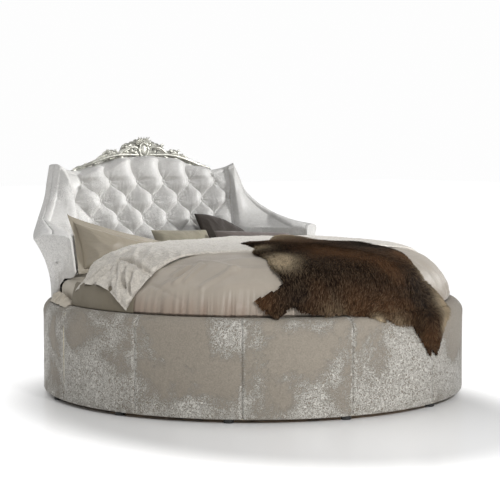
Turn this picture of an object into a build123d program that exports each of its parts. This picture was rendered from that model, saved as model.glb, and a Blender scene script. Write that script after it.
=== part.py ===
from build123d import *
from math import atan2, cos, degrees, hypot, radians, sin, sqrt, tan
import os

# A dressed round bed. An upholstered ring carries a slatted platform, a round mattress and a winged,
# button-tufted headboard with a carved crest. Lengths are millimetres and angles are degrees.
# The origin is on the floor under the middle of the ring. The head of the bed is towards +Y and
# angles round the bed run from the head towards +X.

# Whole bed
base_diameter = 2300
base_radius = base_diameter / 2
ring_top = 504
seat_gap = 0.3
cloth_gap = 0.6
overrun = 5

# Upholstered ring
ring_width = 95
shoulder_radius = 68
glide_height = 18
glide_radius = 26
glide_chamfer = 3
glide_count = 12
cover_thickness = 4
side_foam = 18
top_foam = 42
facing_thickness = 6
rail_height = 30
underside_tuck = 45
panel_count = 13
seam_gap = 1.2
segment_gap = 0.6
upright_width = 45
upright_count = 24
joint_plate_length = 160
joint_plate_width = 45
joint_plate_thickness = 4
bolt_radius = 5
bolt_head_radius = 9
bolt_head_height = 5
quarters = 4

# Platform
mattress_top = 600
mattress_height = 230
mattress_gap = 8
mattress_edge = 42
sheet_thickness = 2
slat_thickness = 18
slat_width = 80
slat_pitch = 125
batten_depth = 40
batten_height = 30
beam_width = 50
beam_height = 60
beam_wall = 4
side_beam_offset = 500
leg_radius = 24
foot_radius = 32
foot_height = 12
hanger_width = 80
hanger_thickness = 4
hanger_shelf = 60

# Headboard
head_rise = 754
corner_flare = 130
flare_power = 2.4
head_foot_radius = 1107
neck_radius = 1058
pad_bottom = 607
front_depth = 874
front_lean = 0.22
front_half_width = 580
arm_angle = 57.5
arm_inner_radius = 972
arm_inner_lean = 0.12
edge_least = 48
wing_wall = 62
ledge_height = 828
ledge_fade = 60
ledge_power = 0.6
roll_rise = 12
roll_drop = 14
arm_roll_rise = 26
front_cover = 10
foam_depth = 55
foam_share = 0.45
back_board = 5
arm_facing_depth = 34
arm_facing_layers_shares = ((0, 1), (0.55, 0.97), (0.85, 0.9), (1, 0.8))
centre_seam_angle = 31
rib_thickness = 18
rib_angles = (0, 9, 21, 40, 52)
post_angles = (15, 30)
post_width = 60
post_thickness = 10
post_top = 700
post_gap = 2
corner_angle = 33

# Stations round the headboard, the top edge as a share of head_rise and the flare as a share of
# corner_flare. The valley lies at 26 degrees and the pointed corner at 33 degrees.
head_stations = (0, 8, 15, 21, 26, 30, 33, 34.8, 36.5, 39, 42, 47, 53, 57.5)
top_edge_shares = (1, 0.99, 0.952, 0.912, 0.886, 0.905, 0.942, 0.83, 0.72, 0.642, 0.575, 0.5, 0.448, 0.424)
flare_shares = (0.33, 0.37, 0.46, 0.6, 0.77, 0.9, 1, 0.98, 0.96, 0.93, 0.9, 0.84, 0.78, 0.72)
outer_step_shares = (0, 0.3, 0.55, 0.75, 0.9, 1)
inner_step_shares = (0.94, 0.72, 0.48, 0.24, 0)

# Tufting
button_radius = 12
button_height = 7
button_pitch = 194
button_narrowing = 0.077
tuft_row_height = 110
first_row_height = 1118
tuft_crown = 24
tuft_gap = 2
tuft_rows = 5
tuft_layers_shares = ((1, 0), (0.9, 0.55), (0.66, 0.88), (0.34, 1))

# Crest
crest_half_width = 520
crest_thickness = 26
crest_depth = 1078
crest_peak = 1388
crest_foot = 1130
scroll_depth = 18
scroll_opening = 75
scroll_radii = (38, 28, 20)
scroll_band_share = 0.4
scroll_bead_share = 0.32
scroll_place_shares = (0.25, 0.45, 0.63)
leaf_width = 26
leaf_length = 120
leaf_place_shares = (0.35, 0.545, 0.74)
leaf_tilt = 14
cartouche_height = 104
cartouche_width = 70
cartouche_depth = 26
cartouche_layers_shares = ((1, 0), (0.93, 0.5), (0.72, 0.85), (0.4, 1))
dowel_radius = 5
dowel_length = 100
crest_outline_shares = ((0.05, 1), (0.13, 0.9), (0.22, 0.83), (0.33, 0.72), (0.4, 0.58),
                        (0.46, 0.63), (0.58, 0.55), (0.68, 0.4), (0.8, 0.34), (0.9, 0.24), (1, 0.16))

# Bedding
duvet_radius = 1076
duvet_rise = 286
duvet_roundness = 6.5
duvet_folds = 30
duvet_fold_depth = 13
turnback_thickness = 42
duvet_height_shares = (0, 0.2, 0.45, 0.68, 0.84, 0.94, 0.99)
fold_fade_shares = (1, 0.8, 0.45, 0.2, 0.1, 0.05, 0)
turnback_foot_side = 360
turnback_foot_middle = 560
turnback_head_side = 110
turnback_head_middle = 370
open_side_height = 598
fur_gap = 1
fur_thickness = 34
fur_leg_bottom = 280
fur_hem = 440
drape_height_shares = (0.2, 0.45, 0.68, 0.84, 0.94, 0.99)
drape_roll_angles = (0, 12, 24, 36, 48, 58)
pelt_outline_shares = ((-0.17, -0.09), (-0.052, -0.052), (0.017, -0.043), (0.157, -0.161), (0.143, -0.348),
                       (0.104, -0.487), (0.148, -0.609), (0.261, -0.696), (0.391, -0.722), (0.53, -0.748),
                       (0.561, -0.809), (0.487, -0.861), (0.374, -0.965), (0.09, -1.039), (0.085, -0.97),
                       (-0.056, -0.972), (-0.269, -0.937), (-0.409, -0.878), (-0.443, -0.835),
                       (-0.513, -0.839), (-0.604, -0.774), (-0.6, -0.722), (-0.522, -0.67),
                       (-0.43, -0.51), (-0.287, -0.278))
fur_leg_angles = (162.5, 172)

# Pillows: each has a width, height and thickness, a flange, a place seen from above as shares of
# base_radius, and its lean, turn and roll. A tucked one has its lower right corner drawn up by a share
# of its height.
flange_thickness = 5
cushion_layers_shares = ((-1, 0.45, -0.06), (-0.86, 0.72, -0.03), (-0.5, 0.9, 0.02), (0, 1, 0.05),
                         (0.5, 0.9, 0.02), (0.86, 0.72, -0.03), (1, 0.45, -0.06))
pillow_names = ("front_pillow", "second_pillow", "back_pillow", "dark_cushion", "grey_cushion")
pillow_sizes = ((550, 270, 140), (330, 170, 80), (400, 280, 110), (340, 340, 100), (480, 260, 110))
pillow_flanges = (35, 35, 0, 0, 0)
pillow_tuck_shares = (0.42, 0, 0, 0.2, 0)
pillow_place_shares = ((-0.368, 0.558), (0.01, 0.43), (0.055, 0.612), (0.358, 0.677), (0.405, 0.475))
pillow_angles = ((20, 0, -12), (44, 0, 0), (35, 0, 0), (24, 2, -8), (34, -18, 0))


def spot(angle, radius, height=0):
    """a place by its angle from the head, its distance from the bed's axis and its height"""
    return (radius * sin(radians(angle)), radius * cos(radians(angle)), height)


def flat_face(points):
    return make_face(Polyline(*points, close=True).edges())


def section_face(points):
    """a closed outline of (radius, height) points, in the plane through the bed's axis and +X"""
    return flat_face([(r, 0, z) for r, z in points])


def swept_round(points, arc=360, start=0):
    """revolves a section; start and arc are measured anticlockwise from +X"""
    return revolve(section_face(points), axis=Axis.Z, revolution_arc=arc).rotate(Axis.Z, start)


def block(x0, x1, y0, y1, z0, z1):
    return Pos((x0 + x1) / 2, (y0 + y1) / 2, (z0 + z1) / 2) * Box(abs(x1 - x0), abs(y1 - y0), abs(z1 - z0))


def between(value, places, heights):
    """straight-line reading of a table of places and heights"""
    if value <= places[0]:
        return heights[0]
    for k in range(len(places) - 1):
        if value <= places[k + 1]:
            part = (value - places[k]) / (places[k + 1] - places[k])
            return heights[k] + part * (heights[k + 1] - heights[k])
    return heights[-1]


def save(name, shape):
    solids = shape.solids() if hasattr(shape, "solids") else [s for one in shape for s in one.solids()]
    export_step(solids[0] if len(solids) == 1 else Compound(children=list(solids)), f"parts/{name}.step")


def group(shapes):
    return Compound(children=[s for one in shapes for s in one.solids()])


# Ring sections

rail_outer = base_radius - cover_thickness - side_foam - facing_thickness
rail_inner = base_radius - ring_width
rail_middle = (rail_outer + rail_inner) / 2
rail_foot = glide_height + cover_thickness
upper_rail_top = ring_top - cover_thickness - top_foam
upper_rail_foot = upper_rail_top - rail_height
lower_rail_top = rail_foot + rail_height


def ring_section(inset):
    """the rounded outline of the ring's upholstery, drawn in by inset"""
    outer, inner = base_radius - inset, rail_inner + inset
    top, crown = ring_top - inset, base_radius - shoulder_radius
    big, small = shoulder_radius - inset, ring_width - shoulder_radius - inset
    foot, middle = glide_height + inset, ring_top - shoulder_radius
    neck = ring_top - (ring_width - shoulder_radius)
    half = sqrt(2) / 2
    lines = Polyline((inner, 0, neck), (inner, 0, foot), (outer, 0, foot), (outer, 0, middle)).edges()
    bulge = (crown + big * half, 0, middle + big * half)
    inner_bulge = (crown - small * half, 0, neck + small * half)
    roll = ThreePointArc((outer, 0, middle), bulge, (crown, 0, top))
    inner_roll = ThreePointArc((crown, 0, top), inner_bulge, (inner, 0, neck))
    return make_face([*lines, *roll.edges(), *inner_roll.edges()])


def box_points(r0, r1, z0, z1):
    return [(r0, z0), (r1, z0), (r1, z1), (r0, z1)]


def section_box(r0, r1, z0, z1):
    return section_face(box_points(r0, r1, z0, z1))


def post_slots(clearance):
    """the room that the headboard posts need through the ring"""
    width, depth = post_width + 2 * clearance, post_thickness + 2 * clearance
    bar = Pos(0, post_radius, post_top / 2) * Box(width, depth, post_top)
    return [bar.rotate(Axis.Z, -side * angle) for angle in post_angles for side in (-1, 1)]


post_radius = head_foot_radius - cover_thickness - back_board - post_gap - post_thickness / 2


def cut_by(shape, tools):
    for tool in tools:
        shape = shape - tool
    return shape


def build_panels():
    """velvet panels, each from the tuck under the ring over the shoulder to the inner hem"""
    inner, outer = rail_inner - overrun, base_radius - underside_tuck
    hem = section_box(inner, outer, glide_height - overrun, upper_rail_top)
    section = ring_section(0) - ring_section(cover_thickness) - hem
    step = 360 / panel_count
    gap = degrees(seam_gap / base_radius)
    slots = post_slots(seam_gap)
    for k in range(panel_count):
        start = -90 - step / 2 + k * step + gap / 2
        panel = revolve(section, axis=Axis.Z, revolution_arc=step - gap).rotate(Axis.Z, start)
        save(f"base_panel_{k + 1:02d}", cut_by(panel, slots))


def quarter_rings(section, gap=segment_gap):
    gap_angle = degrees(gap / base_radius)
    arc = 360 / quarters
    one = revolve(section, axis=Axis.Z, revolution_arc=arc - gap_angle)
    return [one.rotate(Axis.Z, arc / 2 + k * arc + gap_angle / 2) for k in range(quarters)]


def joint_bolt_places():
    step = degrees(joint_plate_length / 4 / rail_middle)
    return [(k + 1 / 2) * 360 / quarters + side * step for k in range(quarters) for side in (-1, 1)]


def bolt(length):
    """a bolt along Z, its head's seat at Z = 0 and its shank below"""
    shank = Pos(0, 0, -length / 2) * Cylinder(bolt_radius, length)
    return shank + extrude(RegularPolygon(bolt_head_radius, 6), bolt_head_height)


def build_ring_frame():
    slots = post_slots(seam_gap)
    bolt_hole = Cylinder(bolt_radius + seat_gap, ring_top, align=(Align.CENTER, Align.CENTER, Align.MIN))
    holes = [Pos(*spot(a, rail_middle)) * bolt_hole for a in joint_bolt_places()]
    post_holes = [post_bolt_hole(a, side, z) for a in post_angles for side in (-1, 1)
                  for z in post_bolt_heights]
    lower = quarter_rings(section_box(rail_inner, rail_outer, rail_foot, lower_rail_top))
    upper = quarter_rings(section_box(rail_inner, rail_outer, upper_rail_foot, upper_rail_top))
    save("ring_lower_rails", group([cut_by(s, slots + holes + post_holes) for s in lower]))
    save("ring_upper_rails", group([cut_by(s, slots + holes + post_holes) for s in upper]))
    facing = section_box(rail_outer, rail_outer + facing_thickness, rail_foot, upper_rail_top)
    save("ring_facing_boards", group(quarter_rings(facing)))
    inner, outer = rail_inner - overrun, rail_outer + facing_thickness
    room = section_box(inner, outer, glide_height - overrun, upper_rail_top)
    foam = ring_section(cover_thickness) - room
    save("ring_foam", group([cut_by(s, slots) for s in quarter_rings(foam)]))
    build_uprights()
    build_joint_plates(bolt_hole)


def build_uprights():
    outer = sqrt(rail_outer ** 2 - (upright_width / 2) ** 2)
    one = block(-upright_width / 2, upright_width / 2, rail_inner, outer, lower_rail_top, upper_rail_foot)
    turn = 360 / upright_count
    save("ring_uprights", group([one.rotate(Axis.Z, (k + 1 / 2) * turn) for k in range(upright_count)]))


def build_joint_plates(bolt_hole):
    half, span = joint_plate_width / 2, degrees(joint_plate_length / rail_middle)
    holes = [Pos(*spot(a, rail_middle)) * bolt_hole for a in joint_bolt_places()]
    plates, bolts = [], []
    for low, high, head in ((lower_rail_top, lower_rail_top + joint_plate_thickness, 1),
                            (upper_rail_foot - joint_plate_thickness, upper_rail_foot, -1)):
        ring = swept_round(box_points(rail_middle - half, rail_middle + half, low, high), span)
        for k in range(quarters):
            plate = ring.rotate(Axis.Z, (k + 1 / 2) * 360 / quarters - span / 2)
            plates.append(cut_by(plate, holes))
        seat = high if head > 0 else low
        one = bolt(rail_height + joint_plate_thickness)
        one = one if head > 0 else one.rotate(Axis.X, 180)
        bolts += [Pos(*spot(a, rail_middle, seat)) * one for a in joint_bolt_places()]
    save("joint_plates", group(plates))
    save("joint_bolts", group(bolts))


def build_glides():
    pad = Pos(0, 0, glide_height / 2) * Cylinder(glide_radius, glide_height)
    edge = [e for e in pad.edges() if e.center().Z < glide_height / 2]
    pad = chamfer(edge, glide_chamfer)
    radius = base_radius - underside_tuck / 2 - glide_radius / 2
    angles = [(k + 1 / 2) * 360 / glide_count for k in range(glide_count)]
    save("ring_glides", group([Pos(*spot(angle, radius)) * pad for angle in angles]))


# Platform

platform_top = mattress_top - mattress_height
slat_foot = platform_top - slat_thickness
batten_inner = rail_inner - batten_depth
beam_foot = slat_foot - beam_height


def build_platform():
    batten = section_box(batten_inner, rail_inner, slat_foot - batten_height, slat_foot)
    save("slat_battens", group(quarter_rings(batten)))
    beams = [beam_at(x) for x in (-side_beam_offset, 0, side_beam_offset)]
    save("centre_beam", beams[1])
    save("side_beams", group([beams[0], beams[2]]))
    save("beam_hangers", group([hanger_at(x, side) for x in (-side_beam_offset, 0, side_beam_offset)
                                for side in (-1, 1)]))
    offset = side_beam_offset
    feet = [(0, 0), (0, offset), (0, -offset), (offset, 0), (-offset, 0)]
    leg = Pos(0, 0, (foot_height + beam_foot) / 2) * Cylinder(leg_radius, beam_foot - foot_height)
    foot = Pos(0, 0, foot_height / 2) * Cylinder(foot_radius, foot_height)
    save("support_legs", group([Pos(x, y, 0) * leg for x, y in feet]))
    save("support_feet", group([Pos(x, y, 0) * foot for x, y in feet]))
    save("slats", group(slat_row()))


def beam_end(x):
    return sqrt(batten_inner ** 2 - (abs(x) + hanger_width / 2) ** 2) - hanger_thickness


def beam_at(x):
    end = beam_end(x)
    half = beam_width / 2
    tube = block(x - half, x + half, -end, end, beam_foot, slat_foot)
    room = half - beam_wall
    far = end + overrun
    return tube - block(x - room, x + room, -far, far, beam_foot + beam_wall, slat_foot - beam_wall)


def hanger_at(x, side):
    """a shoe on the batten's inner face, with a shelf under the beam's end"""
    end, half = beam_end(x), hanger_width / 2
    plate = block(x - half, x + half, end, end + hanger_thickness, beam_foot - hanger_thickness, slat_foot)
    shelf = block(x - half, x + half, end - hanger_shelf, end, beam_foot - hanger_thickness, beam_foot)
    shoe = plate + shelf
    return shoe if side > 0 else shoe.mirror(Plane.XZ)


def slat_row():
    count = int((rail_inner - slat_width) / slat_pitch)
    row = []
    for k in range(-count, count + 1):
        y = k * slat_pitch
        reach = sqrt((rail_inner - seat_gap) ** 2 - (abs(y) + slat_width / 2) ** 2)
        row.append(block(-reach, reach, y - slat_width / 2, y + slat_width / 2, slat_foot, platform_top))
    return row


# Headboard sections

head_foot = ring_top - ring_width / 4


def top_edge(angle):
    return ring_top + head_rise * between(abs(angle), head_stations, top_edge_shares)


def flare(angle):
    return corner_flare * between(abs(angle), head_stations, flare_shares)


def outer_radius(angle, height):
    share = max(height - ring_top, 0) / (top_edge(angle) - ring_top)
    return head_foot_radius + flare(angle) * share ** flare_power


def front_at(height):
    return front_depth + front_lean * (height - mattress_top)


def ledge_share(angle, height):
    """how far the wing's face has leaned out above its ledge, as a share of the way to its top"""
    rise = top_edge(angle) - roll_drop - ledge_height
    if height <= ledge_height or rise <= 0:
        return 0
    share = min((height - ledge_height) / rise, 1)
    return share ** ledge_power * min(rise / ledge_fade, 1)


def inner_radius(angle, height):
    """the front plane in the middle, then a wing face that runs straight to the arm and leans out above its ledge"""
    a, depth = abs(angle), front_at(height)
    root = (front_half_width, depth)
    arm = spot(arm_angle, arm_inner_radius + arm_inner_lean * (height - mattress_top))
    run = (arm[0] - root[0], arm[1] - root[1])
    if a <= degrees(atan2(root[0], root[1])):
        radius = depth / cos(radians(a))
    else:
        ray = (sin(radians(a)), cos(radians(a)))
        radius = (root[0] * run[1] - root[1] * run[0]) / (ray[0] * run[1] - ray[1] * run[0])
        opened = min(depth / cos(radians(a)), outer_radius(angle, height) - wing_wall)
        radius += max(opened - radius, 0) * ledge_share(angle, height)
    return min(radius, outer_radius(angle, height) - edge_least)


def roll_height(angle):
    share = max(abs(angle) - corner_angle, 0) / (arm_angle - corner_angle)
    return roll_rise + (arm_roll_rise - roll_rise) * share


def back_line(angle, inset):
    """(radius, height) points up the back of the headboard"""
    top = top_edge(angle)
    heights = [ring_top + s * (top - ring_top) for s in outer_step_shares]
    heights[0] = head_foot
    last = len(heights) - 1
    return [(outer_radius(angle, z) - inset, z - (inset if k == last else 0)) for k, z in enumerate(heights)]


def front_line(angle, inset):
    """(radius, height) points over the top roll, down the front, under the pad and down the neck"""
    top = top_edge(angle)
    outer, inner = outer_radius(angle, top), inner_radius(angle, top - roll_drop)
    line = [((outer + inner) / 2, top + roll_height(angle) - inset)]
    for share in inner_step_shares:
        z = pad_bottom + share * (top - pad_bottom)
        z = min(z, top - roll_drop)
        z = z - inset if share == inner_step_shares[0] else z
        z = z + inset if share == 0 else z
        line.append((inner_radius(angle, z) + inset, z))
    return line + [(neck_radius + inset, pad_bottom + inset), (neck_radius + inset, head_foot)]


def depth_of_foam(angle, height):
    return min(foam_depth, foam_share * (outer_radius(angle, height) - inner_radius(angle, height)))


def foam_line(angle):
    """the back of the foam: the front line drawn in by the foam's depth, which thins at the corner"""
    line = front_line(angle, front_cover)
    moved = []
    for k, (r, z) in enumerate(line):
        depth = depth_of_foam(angle, z)
        if k == 0:
            moved.append((r, z - depth / 2))
        elif k == 1:
            moved.append((r + depth, z - depth / 2))
        elif k < len(line) - 2:
            moved.append((r + depth, z + (depth / 2 if k == len(line) - 3 else 0)))
        elif k == len(line) - 2:
            moved.append((r, z + depth / 2))
    return moved


def station_face(angle, points):
    return flat_face([spot(angle, r, z) for r, z in points])


def stations_between(low, high):
    both = sorted({side * a for a in head_stations for side in (-1, 1)})
    inside = [a for a in both if low < a < high]
    return [low, *inside, high]


def lofted(points_at, low, high):
    return loft([station_face(a, points_at(a)) for a in stations_between(low, high)], ruled=True)


def back_strip(near, far):
    return lambda a: back_line(a, near) + back_line(a, far)[::-1]


def front_strip(near, far):
    return lambda a: front_line(a, near) + front_line(a, far)[::-1]


def full_section(angle):
    return back_line(angle, 0) + front_line(angle, 0)


def core_section(angle):
    """the room inside the covers, the back board and the foam"""
    return back_line(angle, cover_thickness + back_board) + foam_line(angle)


def foam_section(angle):
    line, back = front_line(angle, front_cover)[:-1], foam_line(angle)
    return line + back[::-1]


def ring_room():
    """the ring's upholstery with the seat gap round it"""
    grown = ring_section(-seat_gap)
    return revolve(grown, axis=Axis.Z, revolution_arc=180)


def build_head_frame():
    end = arm_angle
    board = lofted(back_strip(cover_thickness, cover_thickness + back_board), -end, end)
    cover = lofted(back_strip(0, cover_thickness), -end, end)
    save("headboard_back_board", board - ring_room())
    save("headboard_back_cover", cover - ring_room())
    neighbours = [board, cover, lofted(foam_section, -end, end), ring_room()]
    neighbours += post_slots(seat_gap) + crest_dowels(dowel_radius + seat_gap)
    ribs = []
    for angle in sorted({side * a for a in rib_angles for side in (-1, 1)}):
        core = station_face(angle, core_section(angle))
        rib = cut_by(extrude(core, rib_thickness / 2, both=True), neighbours)
        ribs.append(max(rib.solids(), key=lambda s: s.volume))
    save("headboard_ribs", group(ribs))
    save("headboard_posts", group(headboard_posts()))
    save("headboard_bolts", group([post_bolt(a, side, z) for a in post_angles for side in (-1, 1)
                                   for z in post_bolt_heights]))


post_bolt_heights = ((rail_foot + lower_rail_top) / 2, (upper_rail_foot + upper_rail_top) / 2)


def headboard_posts():
    posts = []
    for angle in post_angles:
        for side in (-1, 1):
            bar = Box(post_width, post_thickness, post_top - rail_foot)
            bar = (Pos(0, post_radius, (rail_foot + post_top) / 2) * bar).rotate(Axis.Z, -side * angle)
            posts.append(cut_by(bar, [post_bolt_hole(angle, side, z) for z in post_bolt_heights]))
    return posts


def post_bolt_hole(angle, side, height):
    hole = Cylinder(bolt_radius + seat_gap, ring_width * 2).rotate(Axis.X, 90)
    return (Pos(0, rail_middle, height) * hole).rotate(Axis.Z, -side * angle)


def post_bolt(angle, side, height):
    one = bolt(rail_outer - rail_inner).rotate(Axis.X, 90)
    return (Pos(0, rail_inner - seat_gap, height) * one).rotate(Axis.Z, -side * angle)


def build_covers():
    seam = degrees(seam_gap / base_radius)
    middle = centre_seam_angle
    wings = (("left", -arm_angle, -middle - seam), ("right", middle + seam, arm_angle))
    pin_holes = crest_dowels(dowel_radius + seat_gap)
    save("centre_foam", cut_by(lofted(foam_section, -middle, middle), pin_holes))
    save("tufted_cover", cut_by(tufted_front(middle), pin_holes))
    for name, low, high in wings:
        save(f"wing_foam_{name}", cut_by(lofted(foam_section, low, high), post_slots(seat_gap)))
        save(f"wing_cover_{name}", lofted(front_strip(0, front_cover), low, high) - ring_room())
        save(f"arm_facing_{name}", arm_facing(-1 if name == "left" else 1))


def drawn_in(points, share):
    middle = (sum(p[0] for p in points) / len(points), sum(p[1] for p in points) / len(points))
    return [(middle[0] + share * (r - middle[0]), middle[1] + share * (z - middle[1])) for r, z in points]


def arm_facing(side):
    """the plump front of the arm, drawn in towards its face"""
    section = full_section(arm_angle)
    turn = degrees(arm_facing_depth / base_radius)
    start = arm_angle + degrees(seat_gap / arm_inner_radius)
    faces = [station_face(side * (start + part * turn), drawn_in(section, share))
             for part, share in arm_facing_layers_shares]
    return loft(faces, ruled=True) - ring_room()


# Tufted front

def front_plane(u, height, lift=0):
    """a place on the tufted front, lift millimetres in front of its cover"""
    norm = hypot(1, front_lean)
    return Vector(u, front_at(height) - lift / norm, height + lift * front_lean / norm)


def fanned(place, height):
    """a place on the tufted front, place buttons from its middle line, where columns draw in downwards"""
    u = place * (button_pitch - button_narrowing * (first_row_height - height))
    limit = front_at(height) * tan(radians(centre_seam_angle)) - tuft_gap
    return (max(-limit, min(limit, u)), height)


def tuft_cells():
    """outlines of the tufts as (u, height) points: lobes along the top, then diamonds"""
    cells = []
    low = first_row_height - tuft_row_height
    for k in (-2, -1, 0, 1, 2):
        edge = top_edge(degrees(atan2(abs(k) * button_pitch, front_at(first_row_height))))
        high = edge - roll_drop * 3
        places = ((-1, first_row_height), (0, low), (1, first_row_height), (1, high), (-1, high))
        cells.append([fanned(k + side / 2, z) for side, z in places])
    for row in range(1, tuft_rows):
        middle = first_row_height - row * tuft_row_height
        low, high = max(middle - tuft_row_height, pad_bottom + tuft_gap), middle + tuft_row_height
        for place in (-2.5, -1.5, -0.5, 0.5, 1.5, 2.5) if row % 2 else (-2, -1, 0, 1, 2):
            places = ((-1, middle), (0, low), (1, middle), (0, high))
            cells.append([fanned(place + side / 2, z) for side, z in places])
    return cells


def tuft(cell):
    u0 = sum(u for u, z in cell) / len(cell)
    z0 = sum(z for u, z in cell) / len(cell)
    reach = max(hypot(u - u0, z - z0) for u, z in cell)
    trim = 1 - tuft_gap / reach
    layers = []
    for share, rise in tuft_layers_shares:
        s = share * trim
        lift = rise * tuft_crown - (front_cover / 2 if rise == 0 else 0)
        layers.append(flat_face([front_plane(u0 + s * (u - u0), z0 + s * (z - z0), lift) for u, z in cell]))
    return loft(layers, ruled=True)


def button_places():
    places = []
    for row in range(tuft_rows):
        count = 7 if row % 2 else 6
        height = first_row_height - row * tuft_row_height
        places += [fanned(k - (count - 1) / 2, height) for k in range(count)]
    return places


def button_at(u, height, radius, depth, lift):
    """a short cylinder square to the tufted front"""
    plane = Plane(origin=front_plane(u, height, lift), z_dir=(0, -1, front_lean))
    return plane * Cylinder(radius, depth, align=(Align.CENTER, Align.CENTER, Align.MIN))


def tufted_front(middle):
    cover = lofted(front_strip(0, front_cover), -middle, middle) - ring_room()
    cover = cover.fuse(*[tuft(cell) for cell in tuft_cells()])
    wells = [button_at(u, z, button_radius + seat_gap, tuft_crown * 2, 0) for u, z in button_places()]
    return cut_by(cover, wells)


def build_buttons():
    buttons = []
    for u, z in button_places():
        disc = button_at(u, z, button_radius, button_height, 0)
        rim = disc.edges().filter_by(GeomType.CIRCLE).sort_by(Axis.Y)[0]
        buttons.append(fillet(rim, button_height / 2))
    save("tuft_buttons", group(buttons))


# Crest

def crest_point(share_u, share_z, side):
    return (side * share_u * crest_half_width, crest_depth, crest_foot + share_z * (crest_peak - crest_foot))


def build_crest():
    right = [crest_point(u, z, 1) for u, z in crest_outline_shares]
    left = [crest_point(u, z, -1) for u, z in crest_outline_shares][::-1]
    foot = [crest_point(1, 0, 1), crest_point(1, 0, -1)]
    plate = extrude(flat_face([*left, *right, *foot]), crest_thickness / 2, both=True)
    head = lofted(full_section, -corner_angle, corner_angle)
    board = cut_by(plate - head, crest_dowels(dowel_radius + seat_gap))
    save("crest_board", max(board.solids(), key=lambda s: s.volume))
    front = crest_depth - crest_thickness / 2
    scrolls = crest_scrolls(front) - head
    save("crest_scroll_right", scrolls)
    save("crest_scroll_left", scrolls.mirror(Plane.YZ))
    save("crest_cartouche", cartouche(front) - head)
    save("crest_dowels", group(crest_dowels(dowel_radius)))


def crest_spot(share):
    """a place in the crest's own plane, on the roll of the headboard"""
    u = share * crest_half_width
    angle = degrees(atan2(u, crest_depth))
    return (u, top_edge(angle) + roll_height(angle))


def c_scroll(radius):
    """a C-shaped band that opens upwards and ends in a bead"""
    inner = radius * (1 - scroll_band_share)
    band = Circle(radius) - Circle(inner)
    reach = radius * 2
    sides = [spot(side * scroll_opening / 2, reach)[:2] for side in (-1, 1)]
    mouth = Polyline((0, 0), *sides, close=True)
    bead = Pos(*spot(scroll_opening / 2, (radius + inner) / 2)[:2]) * Circle(radius * scroll_bead_share)
    return (band - make_face(mouth.edges())) + bead


def crest_scrolls(front):
    """three C-scrolls and the leaves between them, flat at the back against the crest board"""
    relief = None
    for share, radius in zip(scroll_place_shares, scroll_radii):
        u, height = crest_spot(share)
        place = Pos(u, height + radius * (1 - scroll_band_share))
        one = place * Rot(0, 0, leaf_tilt) * c_scroll(radius)
        relief = one if relief is None else relief + one
    for share in leaf_place_shares:
        leaf = Rot(0, 0, -leaf_tilt) * Ellipse(leaf_length / 2, leaf_width / 2)
        relief = relief + Pos(*crest_spot(share)) * leaf
    plane = Plane(origin=(0, front, 0), x_dir=(1, 0, 0), z_dir=(0, -1, 0))
    return extrude(plane * relief, scroll_depth)


def cartouche(front):
    """a domed oval shield on the middle of the crest board"""
    height = (crest_foot + crest_peak) / 2 + cartouche_height / 2
    layers = []
    for share, depth in cartouche_layers_shares:
        plane = Plane(origin=(0, front - depth * cartouche_depth, height), x_dir=(1, 0, 0), z_dir=(0, -1, 0))
        layers.append(plane * Ellipse(cartouche_width / 2 * share, cartouche_height / 2 * share))
    return loft(layers, ruled=True)


def crest_dowels(radius):
    """upright pins from the ribs through the roll of the headboard into the crest board"""
    dowels = []
    for angle in (-rib_angles[1], 0, rib_angles[1]):
        place = (crest_depth * tan(radians(angle)), crest_depth, top_edge(angle))
        dowels.append(Pos(*place) * Cylinder(radius, dowel_length))
    return dowels


# Bedding

sheet_top = mattress_top + seat_gap + sheet_thickness
mattress_radius = rail_inner - mattress_gap
duvet_foot = ring_top + cloth_gap


def mattress_section(grow, foot):
    """half of the mattress outline from its axis, grown by grow, down to foot"""
    radius, top, edge = mattress_radius + grow, mattress_top + grow, mattress_edge + grow
    half = sqrt(2) / 2
    side = [(radius, 0, top - edge), (radius, 0, foot), (0, 0, foot), (0, 0, top), (radius - edge, 0, top)]
    lines = Polyline(*side)
    corner = (radius - edge + edge * half, 0, top - edge + edge * half)
    roll = ThreePointArc((radius - edge, 0, top), corner, (radius, 0, top - edge))
    return make_face([*lines.edges(), *roll.edges()])


def mattress_solid(grow, foot):
    return revolve(mattress_section(grow, foot), axis=Axis.Z)


def build_mattress():
    body = mattress_solid(0, platform_top + seat_gap)
    hem = platform_top + mattress_edge
    low = [e for e in body.edges().filter_by(GeomType.CIRCLE) if e.center().Z < hem]
    save("mattress", fillet(low, mattress_edge / 2))
    save("fitted_sheet", mattress_solid(seat_gap + sheet_thickness, hem) - mattress_solid(seat_gap, hem))


def dome_radius(share, radius):
    return radius * (1 - share ** 2) ** (1 / duvet_roundness)


def folded_ring(radius, height, fold):
    """a round outline at one height with an outward arc for each fold"""
    step = 360 / duvet_folds
    arcs = []
    for k in range(duvet_folds):
        low, crest, high = [(k + part) * step for part in (0, 1 / 2, 1)]
        ends = (spot(low, radius, height), spot(crest, radius + fold, height), spot(high, radius, height))
        arcs += ThreePointArc(*ends).edges()
    return make_face(arcs)


def duvet_dome():
    rings = []
    for share, fade in zip(duvet_height_shares, fold_fade_shares):
        radius, height = dome_radius(share, duvet_radius), duvet_foot + share * duvet_rise
        rings.append(folded_ring(radius, height, fade * duvet_fold_depth))
    return loft(rings, ruled=True)


def plain_dome(drop, foot=duvet_foot):
    points = [(dome_radius(share, duvet_radius - drop), duvet_foot + share * (duvet_rise - drop))
              for share in duvet_height_shares]
    points[0] = (points[0][0], foot)
    return revolve(section_face([(0, foot), *points, (0, points[-1][1])]), axis=Axis.Z)


def plan_prism(edges):
    """a tall prism over a plan outline"""
    return extrude(make_face(edges), base_diameter)


def across(side_y, middle_y):
    """an edge of the duvet from one side of the bed to the other, seen from above"""
    return ThreePointArc((-base_radius, side_y), (0, middle_y), (base_radius, side_y))


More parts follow.
